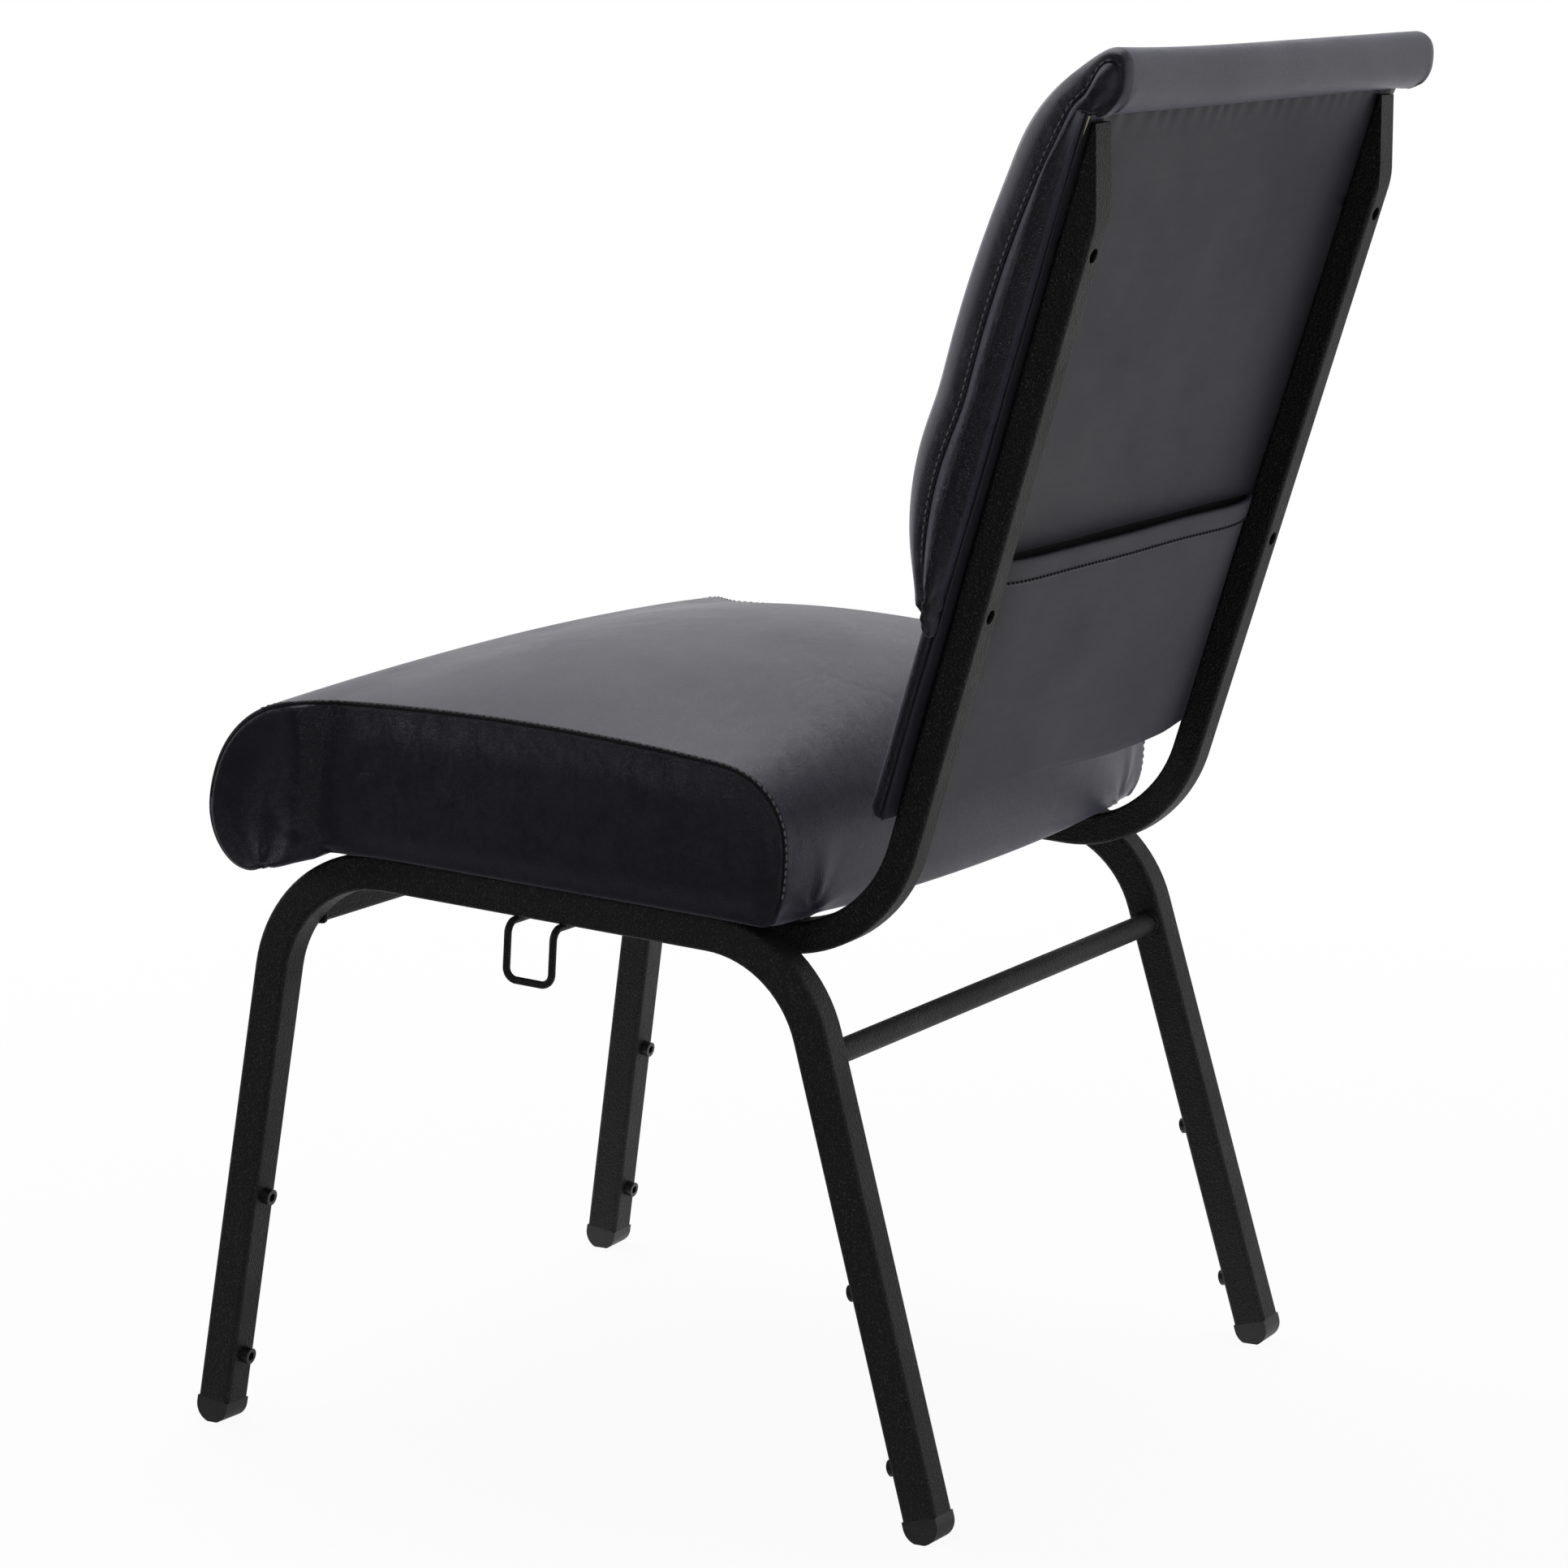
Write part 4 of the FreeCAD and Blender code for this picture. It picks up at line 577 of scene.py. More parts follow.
def finish_cover(cover, part, seam_lines, pressed, seamed, stitch_lines, gathers, local):
    """Press, gather and stitch a swollen cover along its side seams, lay painted shade in their creases, and
    seat it with its threads.
    """
    weld_doubles(cover)
    divide(cover)
    for line, side in zip(seam_lines, (-1, 1)):
        press_seam(cover, line[pressed])
        for axis, (x, y, z), folds, reach, depth, turn in gathers:
            gather(cover, (side * x, y, z), axis, folds, reach, depth, turn)
    pieces = [cover]
    for side_name, stitches, line in zip(("right", "left"), stitch_lines, seam_lines):
        pieces.append(stitch("%s_side_stitching_%s" % (part, side_name), cover, stitches))
        # A near-black line of painted shade along each seam's crease.
        pieces.append(painted_seam_shade("%s_side_seam_%s" % (part, side_name), cover, line[seamed]))
    for piece in pieces:
        seat_in(piece, local)


# The seat's cover and foam, in the rails' frame.

SEAT_HALF_WIDTH = 240 * MM
SEAT_FRONT, SEAT_REAR = -237 * MM, 171 * MM
SEAT_CROWN, SEAT_SIDE_HEIGHT, SEAT_ROLL = 27 * MM, 92.5 * MM, 46 * MM
REAR_BOW, FRONT_BOW = 18 * MM, 6 * MM
SEAT_LIP = 0.020
CLOTH_BASE, BOARD_BASE = 11.4 * MM, 12.5 * MM
BOARD_TOP = 24.5 * MM
CLOTH_HALF = 0.222
COVER_SPACING, FOAM_SPACING = 0.0068, 0.016

# The front corners swell out past the side panels, over a shorter stretch on the panels themselves.
SEAT_WING = 17 * MM
WING_END, WING_EASE = SEAT_FRONT + 0.086, 0.032
PANEL_WING_END, PANEL_WING_EASE = SEAT_FRONT + 0.080, 0.016
PANEL_BULGE, WING_HOLLOW = 0.0035, 0.004
PANEL_RINGS = (0.03, 0.07, 0.12, 0.2, 0.3, 0.42, 0.54, 0.66, 0.78, 0.89, 1.0)

# How far in from a side seam the last outlines lie, in millimetres, and how far the seam sinks.
SEAM_STEPS = (0, 1.0, 2.4, 5.5, 9.2, 9.5, 9.7, 16, 23)
SEAM_SINK = 1.7 * MM

# Points of the seat's outline, counted from the underside's rear edge.
SEAT_LIP_POINT = 108
SEAT_PRESSED, SEAT_SEAMED, SEAT_STITCHED = slice(0, 112), slice(2, 92), slice(4, 78)

# The axis that folds fan over, the point they start from, and their count, reach, depth and turn.
SEAT_GATHERS = (
    (ACROSS, (0.206, SEAT_REAR - 0.014, CLOTH_BASE + 0.004), 6, 0.034, 0.0008, 0.8),
    (ACROSS, (0.237, SEAT_REAR - 0.024, CLOTH_BASE), 4, 0.022, 0.0006, 0.2),
    (ALONG, (0.250, SEAT_FRONT + 0.045, CLOTH_BASE - 0.012), 4, 0.030, 0.0014, 1.0),
    (ALONG, (0.246, SEAT_FRONT + 0.074, CLOTH_BASE + 0.004), 3, 0.026, 0.0014, 2.0),
)


def seat_outline(share, inset, base, lip):
    """The seat's outline at a share of its half width, from the underside up the rear and round."""
    crown = SEAT_CROWN * (1 - share ** 2)
    rear = SEAT_REAR - REAR_BOW * share ** 2 - inset
    front = SEAT_FRONT + FRONT_BOW * share ** 2 + inset
    side = BOARD_BASE + SEAT_SIDE_HEIGHT - inset
    top = side + crown
    middle, nose, foot = side * 0.45, side * 0.42, base - lip
    roll = SEAT_ROLL + 0.5 * crown
    runs = [
        ((rear - 0.001, base + middle * 0.4), (rear - 0.001, middle), 10),
        ((rear - roll * 0.3, side * 0.72 + top * 0.13), (rear - roll, top - 0.003 - crown * 0.3), 16),
        (((rear - roll + front) / 2, top + 0.0015), (front + roll * 1.5, top - 0.004 - crown * 0.5), 44),
        ((front + roll * 0.38, side * 0.68 + top * 0.1), (front, nose), 20),
        ((front + 0.002, (foot + nose) * 0.5 - 0.006), (front + 0.024, foot), 12),
        (None, (front + 0.040 + lip * 2, base), 10),
        (None, (rear - 0.009, base), 26),
    ]
    return closed_outline((rear - 0.009, base), runs, (6,), 7)


def seat_reach(y, share):
    """Half the seat's width at a place along it: the front corners swell out past the side panels."""
    swell = ease((WING_END - y) / WING_EASE)
    return SEAT_HALF_WIDTH + SEAT_WING * swell * ease(abs(share) / 0.75)


def side_steps(half, spacing):
    """Places from the middle out to a side seam, close together near the seam."""
    close = [half - step * MM for step in reversed(SEAM_STEPS)]
    count = round(close[0] / spacing)
    return [close[0] * k / count for k in range(count)] + close


def seat_shell(name, inset, base, lip, spacing, rings, material):
    """The seat's closed skin, or its foam at some inset, and its outlines side by side."""
    half = SEAT_HALF_WIDTH - inset
    right = side_steps(half, spacing)
    places = [-x for x in reversed(right[1:])] + right
    columns = []
    for x in places:
        share = x / half
        sink = SEAM_SINK if abs(x) == half else 0.0
        outline = seat_outline(share, inset + sink, base, lip)
        reach = seat_reach(outline[:, 0], share) - inset - 0.5 * sink
        columns.append(np.stack([share * reach, outline[:, 0], outline[:, 1]], 1))
    columns = np.array(columns)

    def end_panel(outline, depth, side):
        """A ring of the side panel, which closes on a line along its middle that drops at the front."""
        y, z = outline[:, 1], outline[:, 2]
        middle = np.clip(y, SEAT_FRONT + 0.052, SEAT_REAR - 0.055)
        level = 0.056 - 0.012 * ease((SEAT_FRONT + 0.1 - y) / 0.06)
        ring_y, ring_z = y + (middle - y) * depth, z + (level - z) * depth
        wing = ease((PANEL_WING_END - ring_y) / PANEL_WING_EASE)
        bulge = PANEL_BULGE * ease(depth * 2.2) * (1 - wing) - WING_HOLLOW * ease(depth * 1.6) * wing
        x = side * (SEAT_HALF_WIDTH + SEAT_WING * wing - inset + bulge)
        return np.stack([x, ring_y, ring_z], 1)

    points, faces = shell_mesh(columns, end_panel, rings)
    return make_piece(name, points, faces, material), columns


def seat_cover():
    cover, columns = seat_shell("seat_cover", 0.0, CLOTH_BASE, SEAT_LIP, COVER_SPACING, PANEL_RINGS, VINYL)
    rows, around = columns.shape[:2]
    points = corners_of(cover.data)
    bottom = [i for i in range(rows * around)
              if points[i, 2] < CLOTH_BASE + 0.001 and i % around > SEAT_LIP_POINT]
    under_cloth = [i for i in bottom if abs(points[i, 0]) < CLOTH_HALF and -0.165 < points[i, 1] < 0.138]
    points[under_cloth, 2] += 0.0009
    set_corners(cover.data, points)
    seams = side_seams(rows, around)
    let_swell(cover, [(1.0, bottom), (0.92, seams[0] + seams[1])], pressure=2.6, furthest=0.005, slack=0.006)
    settled = corners_of(cover.data)
    seam_lines = [settled[ring] for ring in seams]
    stitch_lines = [line[SEAT_STITCHED] for line in beside_seams(settled, seams, around, 0.85)]
    finish_cover(cover, "seat", seam_lines, SEAT_PRESSED, SEAT_SEAMED, stitch_lines, SEAT_GATHERS, RAILS)
    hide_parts("seat_cushion")


def seat_foam():
    foam, _ = seat_shell(
        "seat_foam_block", inset=0.0063, base=BOARD_TOP + 0.0006, lip=0.0, spacing=FOAM_SPACING,
        rings=(0.2, 0.6, 1.0), material=FOAM)
    finish_foam(foam, RAILS)
    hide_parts("seat_foam")


# The back's cover and foam, in the uprights' frame.

BACK_HALF_WIDTH = 223 * MM
BACK_LOW, BACK_HIGH = 178 * MM, 522 * MM
BACK_CROWN, BACK_SIDE_FRONT = 0.031, -0.0329
UPRIGHT_FACE = 9.525 * MM
BACK_BOARD_REAR, BACK_BOARD_FRONT = -11.725 * MM, -18.725 * MM
BACK_BOARD_HALF = 213.4 * MM
BACK_EDGE = -11.8 * MM
END_BULGE, FOAM_END_BULGE = 0.0048, 0.0008

# The roll over the top: how far it hangs to the rear, how deep it is, and how its ends round off.
ROLL_OVERHANG, ROLL_DEPTH = 0.021, 0.038
ROLL_FOOT = 486 * MM
ROLL_MIDDLE = np.array([-1.0, 503.0]) * MM
ROLL_END, ROLL_END_DRAW, ROLL_END_BULGE = 0.011, 0.34, 0.002

# The line that a side panel closes on: heights, and the places fore and aft at them.
PANEL_HEIGHTS = (0.19, 0.25, 0.45, 0.485, 0.505)
PANEL_MIDDLES = (-0.018, -0.0235, -0.0205, -0.012, -0.002)

# Points of the back's outline, counted from the cushion's lower rear edge.
BACK_REAR_POINT = 86
BACK_SEAMED, BACK_STITCHED = slice(9, 75), slice(11, 73)
BACK_GATHERS = (
    (ALONG, (0.224, -0.016, 0.196), 4, 0.026, 0.0012, 0.6),
    (ALONG, (0.222, -0.004, 0.487), 3, 0.018, 0.0007, 0.3),
    (ACROSS, (0.214, 0.004, 0.487), 3, 0.016, 0.0006, 1.1),
)


def back_outline(share, inset, edge):
    """The back's outline at a share of its half width, from its lower rear edge round the front."""
    low, high = BACK_LOW + 2.2 * inset, BACK_HIGH - inset
    tall = high - low
    lap = high - ROLL_DEPTH + 2 * inset
    rear = -UPRIGHT_FACE + ROLL_OVERHANG - inset
    swell = math.sqrt(max(0.0, 1 - abs(share) ** 10))
    front = BACK_SIDE_FRONT + inset - BACK_CROWN * swell + inset * 0.3 * swell
    top = high - 0.001 + 0.0035 * max(share, 0.0) ** 3
    tuck = 0.004 + 0.014 * swell
    round_off = 0.55 * (BACK_EDGE - front)
    runs = [
        (None, (BACK_EDGE - tuck * 0.5, low), 5),
        ((front + round_off * 0.42 + 0.005 * swell, low + 0.1 * tall),
         (front + 0.001, low + 0.37 * tall), 24),
        ((front - 0.0003, low + 0.53 * tall), (front + 0.0055, low + 0.76 * tall), 22),
        ((front + 0.013 + 0.003 * swell, low + 0.885 * tall), (-0.012 + inset * 0.2, top - 0.006), 18),
        ((-0.003, top), (rear - 0.0035, top - 0.0137), 9),
        ((rear - 0.0005, top - 0.0258), (-0.0015 - inset, lap), 8),
        (None, (edge, lap), 6),
        (None, (edge, low), 44),
    ]
    return closed_outline((edge, low), runs, (6, 7), 5)


def round_roll_end(outline, from_end):
    """Ease the roll's outline in over the last stretch before its end."""
    near_end = max(0.0, 1 - from_end / ROLL_END)
    draw = ROLL_END_DRAW * (1 - math.sqrt(1 - min(near_end, 1.0) ** 2))
    on_roll = ease((outline[:, 1] - ROLL_FOOT) / 0.008)
    return outline + (ROLL_MIDDLE - outline) * (draw * on_roll)[:, None]


def back_shell(name, inset, spacing, rings, material):
    """The back's closed skin, or its foam at some inset, and its outlines side by side."""
    half = BACK_HALF_WIDTH - inset
    right = side_steps(half, spacing)
    places = [-x for x in reversed(right[1:])] + right
    columns = []
    for x in places:
        wraps = inset == 0 and abs(x) > BACK_BOARD_HALF
        edge = BACK_EDGE if wraps else BACK_BOARD_FRONT - 0.0004 - inset
        sink = SEAM_SINK if abs(x) == half else 0.0
        outline = round_roll_end(back_outline(x / half, inset + sink, edge), half - abs(x))
        across = math.copysign(abs(x) - 0.5 * sink, x)
        columns.append(np.stack([np.full(len(outline), across), outline[:, 0], outline[:, 1]], 1))
    columns = np.array(columns)

    def end_panel(outline, depth, side):
        """A ring of the side panel, which closes on a line up its middle."""
        y, z = outline[:, 1], outline[:, 2]
        level = np.clip(z, BACK_LOW + 0.012, BACK_HIGH - 0.020)
        middle = np.interp(level, PANEL_HEIGHTS, PANEL_MIDDLES)
        ring_y, ring_z = y + (middle - y) * depth, z + (level - z) * depth
        on_roll = ease((z - ROLL_FOOT) / 0.012)
        bulge = np.where(inset > 0, FOAM_END_BULGE, END_BULGE + ROLL_END_BULGE * on_roll)
        x = side * (half + bulge * np.sin(ease(depth) * math.pi / 2) ** 0.8)
        return np.stack([x, ring_y, ring_z], 1)

    points, faces = shell_mesh(columns, end_panel, rings)
    return make_piece(name, points, faces, material), columns


def back_cover():
    cover, columns = back_shell("back_cover", 0.0, COVER_SPACING, (0.08, 0.2, 0.4, 0.65, 1.0), VINYL)
    rows, around = columns.shape[:2]
    flat = [i for i in range(rows * around) if i % around >= BACK_REAR_POINT]
    seams = side_seams(rows, around)
    let_swell(cover, [(1.0, flat), (0.92, seams[0] + seams[1])], pressure=2.2, furthest=0.005, slack=0.005)
    settled = corners_of(cover.data)
    seam_lines = [settled[ring] for ring in seams]
    stitch_lines = [line[BACK_STITCHED] for line in beside_seams(settled, seams, around, 0.3)]
    finish_cover(cover, "back", seam_lines, BACK_SEAMED, BACK_SEAMED, stitch_lines, BACK_GATHERS, BACK)
    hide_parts("back_cushion")


def back_foam():
    foam, _ = back_shell(
        "back_foam_block", inset=0.0085, spacing=FOAM_SPACING, rings=(0.5, 1.0), material=FOAM)
    finish_foam(foam, BACK)
    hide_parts("back_foam")


# Thin covers, and the staples and welds.

def two_skins(name, outer, inner, material):
    """A thin closed shell between two grids of points, from the outer skin's through its rim."""
    tall, wide = outer.shape[:2]
    points = np.concatenate([outer.reshape(-1, 3), inner.reshape(-1, 3)])
    shift = wide * tall
    faces = []
    for j in range(tall - 1):
        for i in range(wide - 1):
            a, b = j * wide + i, j * wide + i + 1
            faces.append((a, a + wide, b + wide, b))
            faces.append((a + shift, b + shift, b + wide + shift, a + wide + shift))
    rim = list(range(wide)) + [j * wide + wide - 1 for j in range(1, tall)]
    rim += [(tall - 1) * wide + i for i in reversed(range(wide - 1))]
    rim += [j * wide for j in reversed(range(1, tall - 1))]
    for a, b in zip(rim, rim[1:] + rim[:1]):
        faces.append((a, b, b + shift, a + shift))
    return make_piece(name, points, faces, material)


def thin_sheet(name, across, up, place, thickness, material):
    """A sheet on a grid: place gives the outer face's point, and the sheet lies ahead of it."""
    outer = np.array([[place(x, z) for x in across] for z in up])
    return two_skins(name, outer, outer - np.array([0, thickness, 0]), material)


PANEL_HALF, PANEL_LOW, PANEL_HIGH, PANEL_GAP = 0.2160, 0.0665, 0.4835, 0.0009
POCKET_HALF, POCKET_LOW, POCKET_HIGH = 0.184, 0.064, 0.219
SCALLOP_TOP, SCALLOP_REACH = 0.486, 0.011


def rear_panel():
    """The flat vinyl over the rear of the back board, with near-black painted shade where the pocket covers
    it.
    """
    rng = np.random.default_rng(3)
    shifts = rng.uniform(0, 6.28, 4)

    def place(x, z):
        """Soft waves all over, and scallops where the sheet is stapled under the roll."""
        ripple = 0.0003 * math.sin(x * 41 + z * 17 + shifts[0])
        ripple += 0.00025 * math.sin(z * 63 - x * 23 + shifts[1])
        phase = x * 340 + 1.6 * math.sin(x * 31 + shifts[2]) + 0.9 * math.sin(x * 77 + shifts[3])
        scallop = 0.0006 * (1 + math.sin(phase)) * math.exp(-((SCALLOP_TOP - z) / SCALLOP_REACH) ** 2)
        return x, -UPRIGHT_FACE - PANEL_GAP + ripple + scallop, z

    across = np.linspace(-PANEL_HALF, PANEL_HALF, 174)
    stretches = ((PANEL_LOW, POCKET_HIGH, 18), (POCKET_HIGH + 0.002, 0.450, 26), (0.454, PANEL_HIGH, 10))
    up = np.concatenate([np.linspace(*stretch) for stretch in stretches])
    panel = thin_sheet("rear_panel", across, up, place, 0.0011, PANEL_VINYL)
    # The panel's faces inside the pocket take the near-black painted shade of the pocket's dark interior.
    panel.data.materials.append(PAINTED_SHADE_AND_STITCH_BLACK)
    for face in panel.data.polygons:
        in_pocket_shade = abs(face.center.x) < POCKET_HALF - 0.001 and face.center.z < POCKET_HIGH
        face.material_index = int(in_pocket_shade and face.normal.y > 0)
    seat_in(panel, BACK)
    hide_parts("back_rear_cover")


def pocket_face(x, z):
    """The pocket's outer face: shut at its foot and sides, and standing off at the mouth."""
    share = (z - POCKET_LOW) / (POCKET_HIGH - POCKET_LOW)
    open_part = max(0.0, 1 - abs(x / POCKET_HALF) ** 8)
    gap = (0.002 + 0.0062 * ease(share)) * open_part
    sag = 0.0006 * math.sin(x * 37 + 1.3) * share + 0.0005 * math.sin(x * 21 + z * 55)
    return -UPRIGHT_FACE + gap + 0.0016 + sag * open_part


HEM_DEPTH, HEM_OVER_MOUTH, HEM_STITCH_DROP = 0.015, 0.0006, 0.0125


def book_pocket():
    """The pocket's sheet, its inner face in near-black painted shade, and its hem with a row of stitches."""
    across = np.linspace(-POCKET_HALF, POCKET_HALF, 74)

    def place(x, z):
        low = 0.0016 * math.sin(x * 26 + 0.8) + 0.0022 * ease((abs(x) - 0.15) / 0.034)
        share = (POCKET_HIGH - z) / (POCKET_HIGH - POCKET_LOW)
        return x, pocket_face(x, z), z + low * share ** 4

    def hem_place(x, z):
        """The hem's outer face, which rounds off towards both edges."""
        off_middle = abs((z - POCKET_HIGH + 0.007) / 0.008)
        return x, pocket_face(x, z) + 0.0009 - 0.0006 * off_middle ** 3, z

    up = np.linspace(POCKET_LOW, POCKET_HIGH, 40)
    pocket = thin_sheet("pocket_sheet", across, up, place, 0.0012, PANEL_VINYL)
    pocket.data.materials.append(PAINTED_SHADE_AND_STITCH_BLACK)
    # The sheet's inner face takes the near-black painted shade of the pocket's dark interior.
    for face in pocket.data.polygons:
        face.material_index = int(face.normal.y < -0.5)
    hem_up = np.linspace(POCKET_HIGH - HEM_DEPTH, POCKET_HIGH + HEM_OVER_MOUTH, 7)
    hem = thin_sheet("pocket_hem", across, hem_up, hem_place, 0.0022, PANEL_VINYL)
    level = POCKET_HIGH - HEM_STITCH_DROP
    line = np.array([(x, pocket_face(x, level) + 0.0008, level) for x in np.linspace(-0.182, 0.182, 60)])
    thread = stitch("pocket_hem_stitching", hem, line, PAINTED_SHADE_AND_STITCH_BLACK, thread=0.0007)
    for piece in (pocket, hem, thread):
        seat_in(piece, BACK)
    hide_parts("book_pocket")


def lower_cover():
    """The thin strip below the cushion, rolled round the board's sides and tucked up under the cushion."""
    low, high = 0.066, BACK_LOW + 0.005
    half, bend, skin = 0.2172, 0.004, 0.0009
    front, rear = BACK_BOARD_FRONT - 0.0018, BACK_BOARD_REAR - 0.0001

    def outline(z, inward):
        draw = 0.0025 * (1 - ease((z - low) / 0.006)) + inward
        depth, middle = (rear - front - draw) / 2, (rear + front + draw) / 2
        angles = [math.pi * k / 8 for k in range(9)]
        turn = [(half - bend + (bend - draw) * math.sin(a), middle + depth * math.cos(a)) for a in angles]
        flat = [((half - bend) * (1 - k / 20), front + draw) for k in range(1, 40)]
        return [(x, y, z) for x, y in turn + flat + [(-x, y) for x, y in reversed(turn)]]

    levels = [low + 0.0004, low + 0.0012, low + 0.003, *np.linspace(low + 0.006, high, 16)]
    outer, inner = (np.array([outline(z, inward) for z in levels]) for inward in (0.0, skin))
    pad = two_skins("lower_back_cover", outer, inner, VINYL)
    weld_doubles(pad, 0.00001)
    seat_in(pad, BACK)
    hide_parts("lower_back_pad")


def dust_sheet():
    """The cloth under the seat, which sags a little between its staples."""
    rng = random.Random(5)
    front, rear, half_thick = -0.170, 0.140, 0.0002
    sag = [rng.uniform(0, 6.28) for _ in range(2)]

    def height(x, y):
        """A slight sag that dies away at the edges."""
        share = (2 * y - front - rear) / (rear - front)
        inside = (1 - (x / CLOTH_HALF) ** 4) * (1 - share ** 4)
        return CLOTH_BASE + 0.0003 + 0.0003 * math.sin(x * 30 + sag[0]) * math.sin(y * 36 + sag[1]) * inside

    across, along = np.linspace(-CLOTH_HALF, CLOTH_HALF, 50), np.linspace(front, rear, 36)
    middle = np.array([[(x, y, height(x, y)) for x in across] for y in along])
    up = np.array([0, 0, half_thick])
    sheet = two_skins("seat_dust_sheet", middle - up, middle + up, DUST_CLOTH)
    seat_in(sheet, RAILS)
    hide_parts("seat_dust_cloth")


def staples():
    """Wire staples round the dust sheet's edge."""
    sheet_half, front, rear = 0.216, -0.164, 0.134
    spots = [(x, y, 1, 0) for y in (front, rear) for x in np.linspace(-0.2, 0.2, 15)]
    spots += [(side * sheet_half, y, 0, 1) for side in (-1, 1) for y in np.linspace(-0.15, 0.12, 10)]
    rng = random.Random(9)
    points, faces = [], []
    for x, y, along_x, along_y in spots:
        lean = rng.uniform(-0.12, 0.12)
        first = len(points)
        for up in (CLOTH_BASE - 0.0005, CLOTH_BASE + 0.0008):
            for a, b in ((-1, -1), (1, -1), (1, 1), (-1, 1)):
                long_way, wide_way = a * 0.005, b * 0.0006
                points.append((x + along_x * long_way + along_y * wide_way - lean * long_way * along_y,
                               y + along_y * long_way + along_x * wide_way + lean * long_way * along_x, up))
        faces += [tuple(first + k for k in quad) for quad in (
            (0, 3, 2, 1), (4, 5, 6, 7), (0, 1, 5, 4), (1, 2, 6, 5), (2, 3, 7, 6), (3, 0, 4, 7))]
    piece = make_piece("dust_sheet_staples", points, faces, ZINC, smooth=False)
    weld_doubles(piece, 0.00001)
    seat_in(piece, RAILS)


def weld_round(name, centre, outline, x, side):
    """A rippled weld bead where a bar's end meets a side frame's inner face."""
    rng = random.Random(name)
    count, sides, thick = 64, 8, 0.0017
    points, faces = [], []
    for k in range(count):
        angle = 2 * math.pi * k / count
        y, z = outline(angle)
        outward = Vector((0, y, z)).normalized()
        bead = thick * (1 + 0.16 * math.sin(k * 2.4) + rng.uniform(-0.08, 0.08))
        for j in range(sides):
            turn = 2 * math.pi * j / sides
            points.append(Vector((x, centre[0] + y, centre[1] + z))
                          + outward * (bead * math.cos(turn)) + Vector((side * bead * math.sin(turn), 0, 0)))
    for k in range(count):
        here, ahead = k * sides, (k + 1) % count * sides
        for j in range(sides):
            after = (j + 1) % sides
            faces.append((here + j, here + after, ahead + after, ahead + j))
    piece = make_piece(name, points, faces, POWDER_COAT)
    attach(piece, "root")


def weld_ends(node_name, round_bar):
    """A bead round each end of a round or square bar between the side frames."""
    low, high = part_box(node_name)
    centre = ((low.y + high.y) / 2, (low.z + high.z) / 2)
    half = (high.z - low.z) / 2

    def outline(angle):
        c, s = math.cos(angle), math.sin(angle)
        if round_bar:
            return half * c, half * s
        squareness = 0.28
        return half * math.copysign(abs(c) ** squareness, c), half * math.copysign(abs(s) ** squareness, s)

    for side, side_name in ((1, "left"), (-1, "right")):
        weld_round("%s_weld_%s" % (node_name, side_name), centre, outline, side * (high.x - 0.0004), side)


seat_cover()
seat_foam()
back_cover()
back_foam()
rear_panel()
book_pocket()
lower_cover()
dust_sheet()
staples()
weld_ends("front_cross_rail", False)
weld_ends("rear_stretcher", True)


# The studio: floor, light and camera.

SKY_FILL, FLOOR_TONE = 0.45, 0.86

# Each softbox's name, place, aim, width and power.
SOFTBOXES = (
    ("overhead", (-0.6, -0.5, 2.5), (0, 0, 0.4), 2.0, 34),
    ("rear", (-0.6, 2.9, 1.5), (0, 0, 0.5), 1.6, 5),
    ("left_rear", (2.4, 2.3, 0.45), (0, 0, 0.45), 0.8, 9),
    ("left_front", (1.0, -2.7, 0.8), (0, 0, 0.7), 0.8, 6),
    ("left_above", (2.9, -0.3, 1.75), (0, 0, 0.4), 0.7, 8),
)

# The photograph's side and focal length in pixels, and where it was taken from.
PHOTO_SIDE, FOCAL_LENGTH = 1932, 6341.9
SENSOR_WIDTH = 36.0
CAMERA_PLACE = (2.7393, 1.48475, 0.93871)
CAMERA_YAW, CAMERA_PITCH = -118.897, -10.069


def dark_to_gloss(tree, level):
    """A plain level that glossy rays see as black."""
    gloss = tree.nodes.new("ShaderNodeLightPath").outputs["Is Glossy Ray"]
    return spread(tree, gloss, 0.0, 1.0, level, 0.0)


def larger(tree, first, second):
    return add_node(tree, "ShaderNodeMath", {0: first, 1: second}, operation="MAXIMUM").outputs[0]


def seen_white(tree, place):
    """How white the floor or sky is: full to the lens, less to gloss on the left, above and behind."""
    path = tree.nodes.new("ShaderNodeLightPath")
    axes = add_node(tree, "ShaderNodeSeparateXYZ", {0: place}).outputs
    from_left = spread(tree, axes["X"], -0.3, 0.6, 1.0, 0.04)
    from_above = spread(tree, axes["Z"], 0.2, 0.6, 1.0, 0.3)
    from_rear = spread(tree, axes["Y"], -0.3, 0.5, 1.0, 0.76)
    gloss = path.outputs["Is Glossy Ray"]
    for part in (from_left, from_above, from_rear):
        gloss = multiplied(tree, gloss, part)
    straight = larger(tree, path.outputs["Is Camera Ray"], path.outputs["Is Transmission Ray"])
    return larger(tree, straight, gloss)


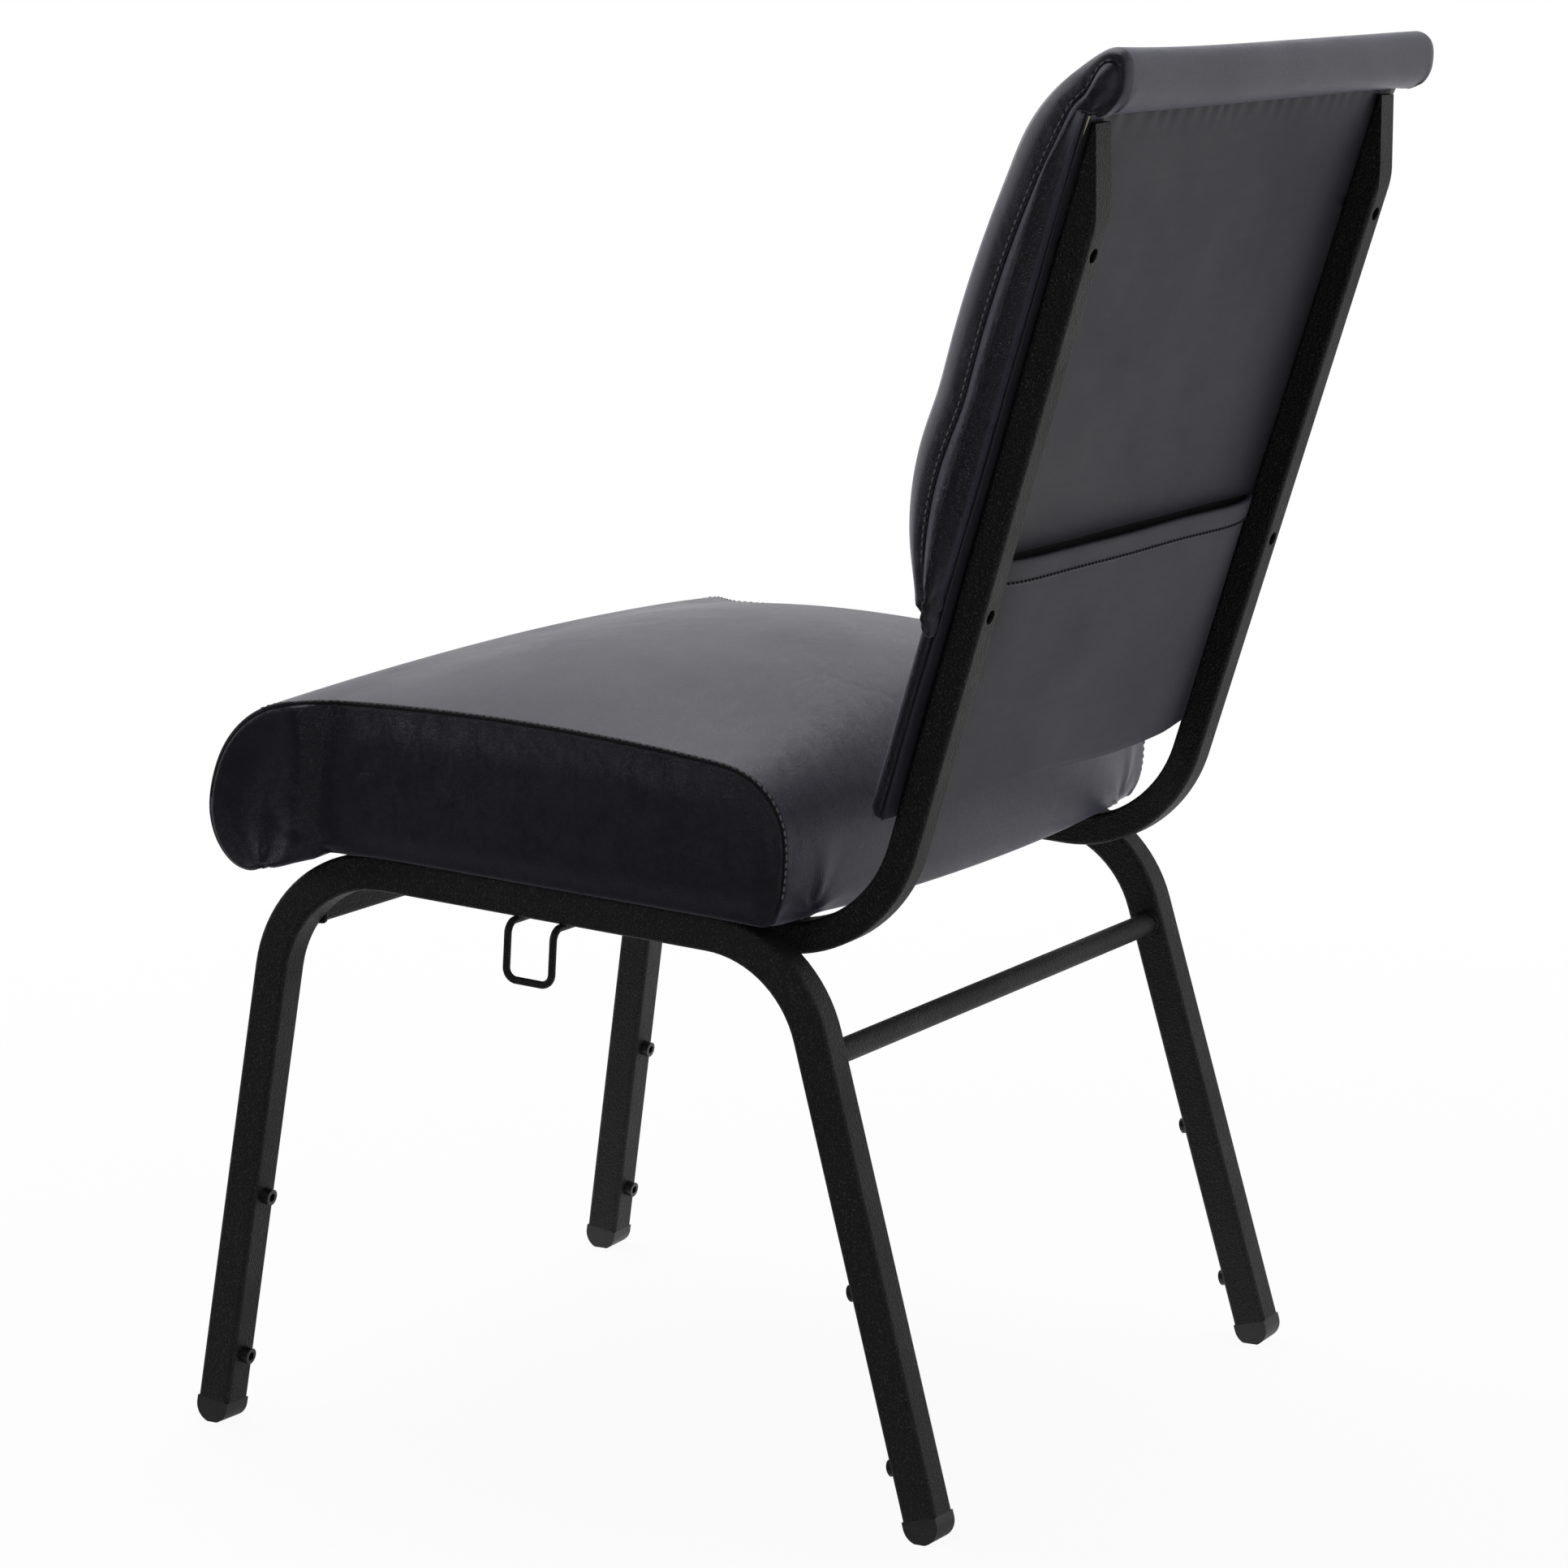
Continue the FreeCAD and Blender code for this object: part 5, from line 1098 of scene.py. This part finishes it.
def dress_floor(material):
    """Matt and pale near the chair, plain white further off, and clear from below."""
    material.use_nodes = True
    tree = material.node_tree
    tree.nodes.clear()
    matt = add_node(tree, "ShaderNodeBsdfDiffuse", {"Color": dark_to_gloss(tree, FLOOR_TONE)})
    white = add_node(tree, "ShaderNodeEmission", {"Color": (1, 1, 1, 1), "Strength": 1.0})
    far = add_node(tree, "ShaderNodeVectorMath", {0: object_point(tree)}, operation="LENGTH")
    fade = spread(tree, far.outputs["Value"], 0.6, 1.8, 0.93, 1.0)
    share = multiplied(tree, seen_white(tree, object_point(tree)), fade)
    mix = add_node(tree, "ShaderNodeMixShader", {0: share, 1: matt.outputs[0], 2: white.outputs[0]})
    clear = tree.nodes.new("ShaderNodeBsdfTransparent")
    from_below = tree.nodes.new("ShaderNodeNewGeometry").outputs["Backfacing"]
    one_sided = add_node(tree, "ShaderNodeMixShader", {
        0: from_below, 1: mix.outputs[0], 2: clear.outputs[0]})
    out = tree.nodes.new("ShaderNodeOutputMaterial")
    tree.links.new(one_sided.outputs[0], out.inputs["Surface"])


def light_sky():
    world = bpy.data.worlds.new("studio")
    bpy.context.scene.world = world
    world.use_nodes = True
    tree = world.node_tree
    tree.nodes.clear()
    fill = add_node(tree, "ShaderNodeBackground", {
        "Color": (0.97, 0.98, 1.0, 1), "Strength": dark_to_gloss(tree, SKY_FILL)})
    white = add_node(tree, "ShaderNodeBackground", {"Color": (1, 1, 1, 1), "Strength": 1.0})
    seen = seen_white(tree, tree.nodes.new("ShaderNodeTexCoord").outputs["Generated"])
    mix = add_node(tree, "ShaderNodeMixShader", {0: seen, 1: fill.outputs[0], 2: white.outputs[0]})
    out = tree.nodes.new("ShaderNodeOutputWorld")
    tree.links.new(mix.outputs[0], out.inputs["Surface"])


def add_softbox(name, where, towards, width, power):
    lamp = bpy.data.lights.new(name, "AREA")
    lamp.shape = "SQUARE"
    lamp.size = width
    lamp.energy = power
    holder = bpy.data.objects.new(name, lamp)
    holder.location = where
    holder.rotation_euler = (Vector(towards) - Vector(where)).to_track_quat("-Z", "Y").to_euler()
    bpy.context.scene.collection.objects.link(holder)


def studio():
    corners = [(-9, -9, 0), (9, -9, 0), (9, 9, 0), (-9, 9, 0)]
    material = bpy.data.materials.new("pale_floor")
    floor = make_piece("studio_floor", corners, [(0, 1, 2, 3)], material, smooth=False)
    dress_floor(material)
    light_sky()
    for softbox in SOFTBOXES:
        add_softbox(*softbox)


def camera():
    """A camera at the photograph's viewing angle."""
    lens = bpy.data.cameras.new("photo_view")
    lens.sensor_width = SENSOR_WIDTH
    lens.lens = SENSOR_WIDTH * FOCAL_LENGTH / PHOTO_SIDE
    lens.clip_start, lens.clip_end = 0.1, 50
    holder = bpy.data.objects.new("photo_view", lens)
    holder.location = CAMERA_PLACE
    yaw, pitch = math.radians(CAMERA_YAW), math.radians(CAMERA_PITCH)
    forward = Vector((math.sin(yaw) * math.cos(pitch), math.cos(yaw) * math.cos(pitch), math.sin(pitch)))
    holder.rotation_euler = forward.to_track_quat("-Z", "Y").to_euler()
    bpy.context.scene.collection.objects.link(holder)
    bpy.context.scene.camera = holder


studio()
camera()
bpy.context.scene.view_settings.view_transform = "Standard"
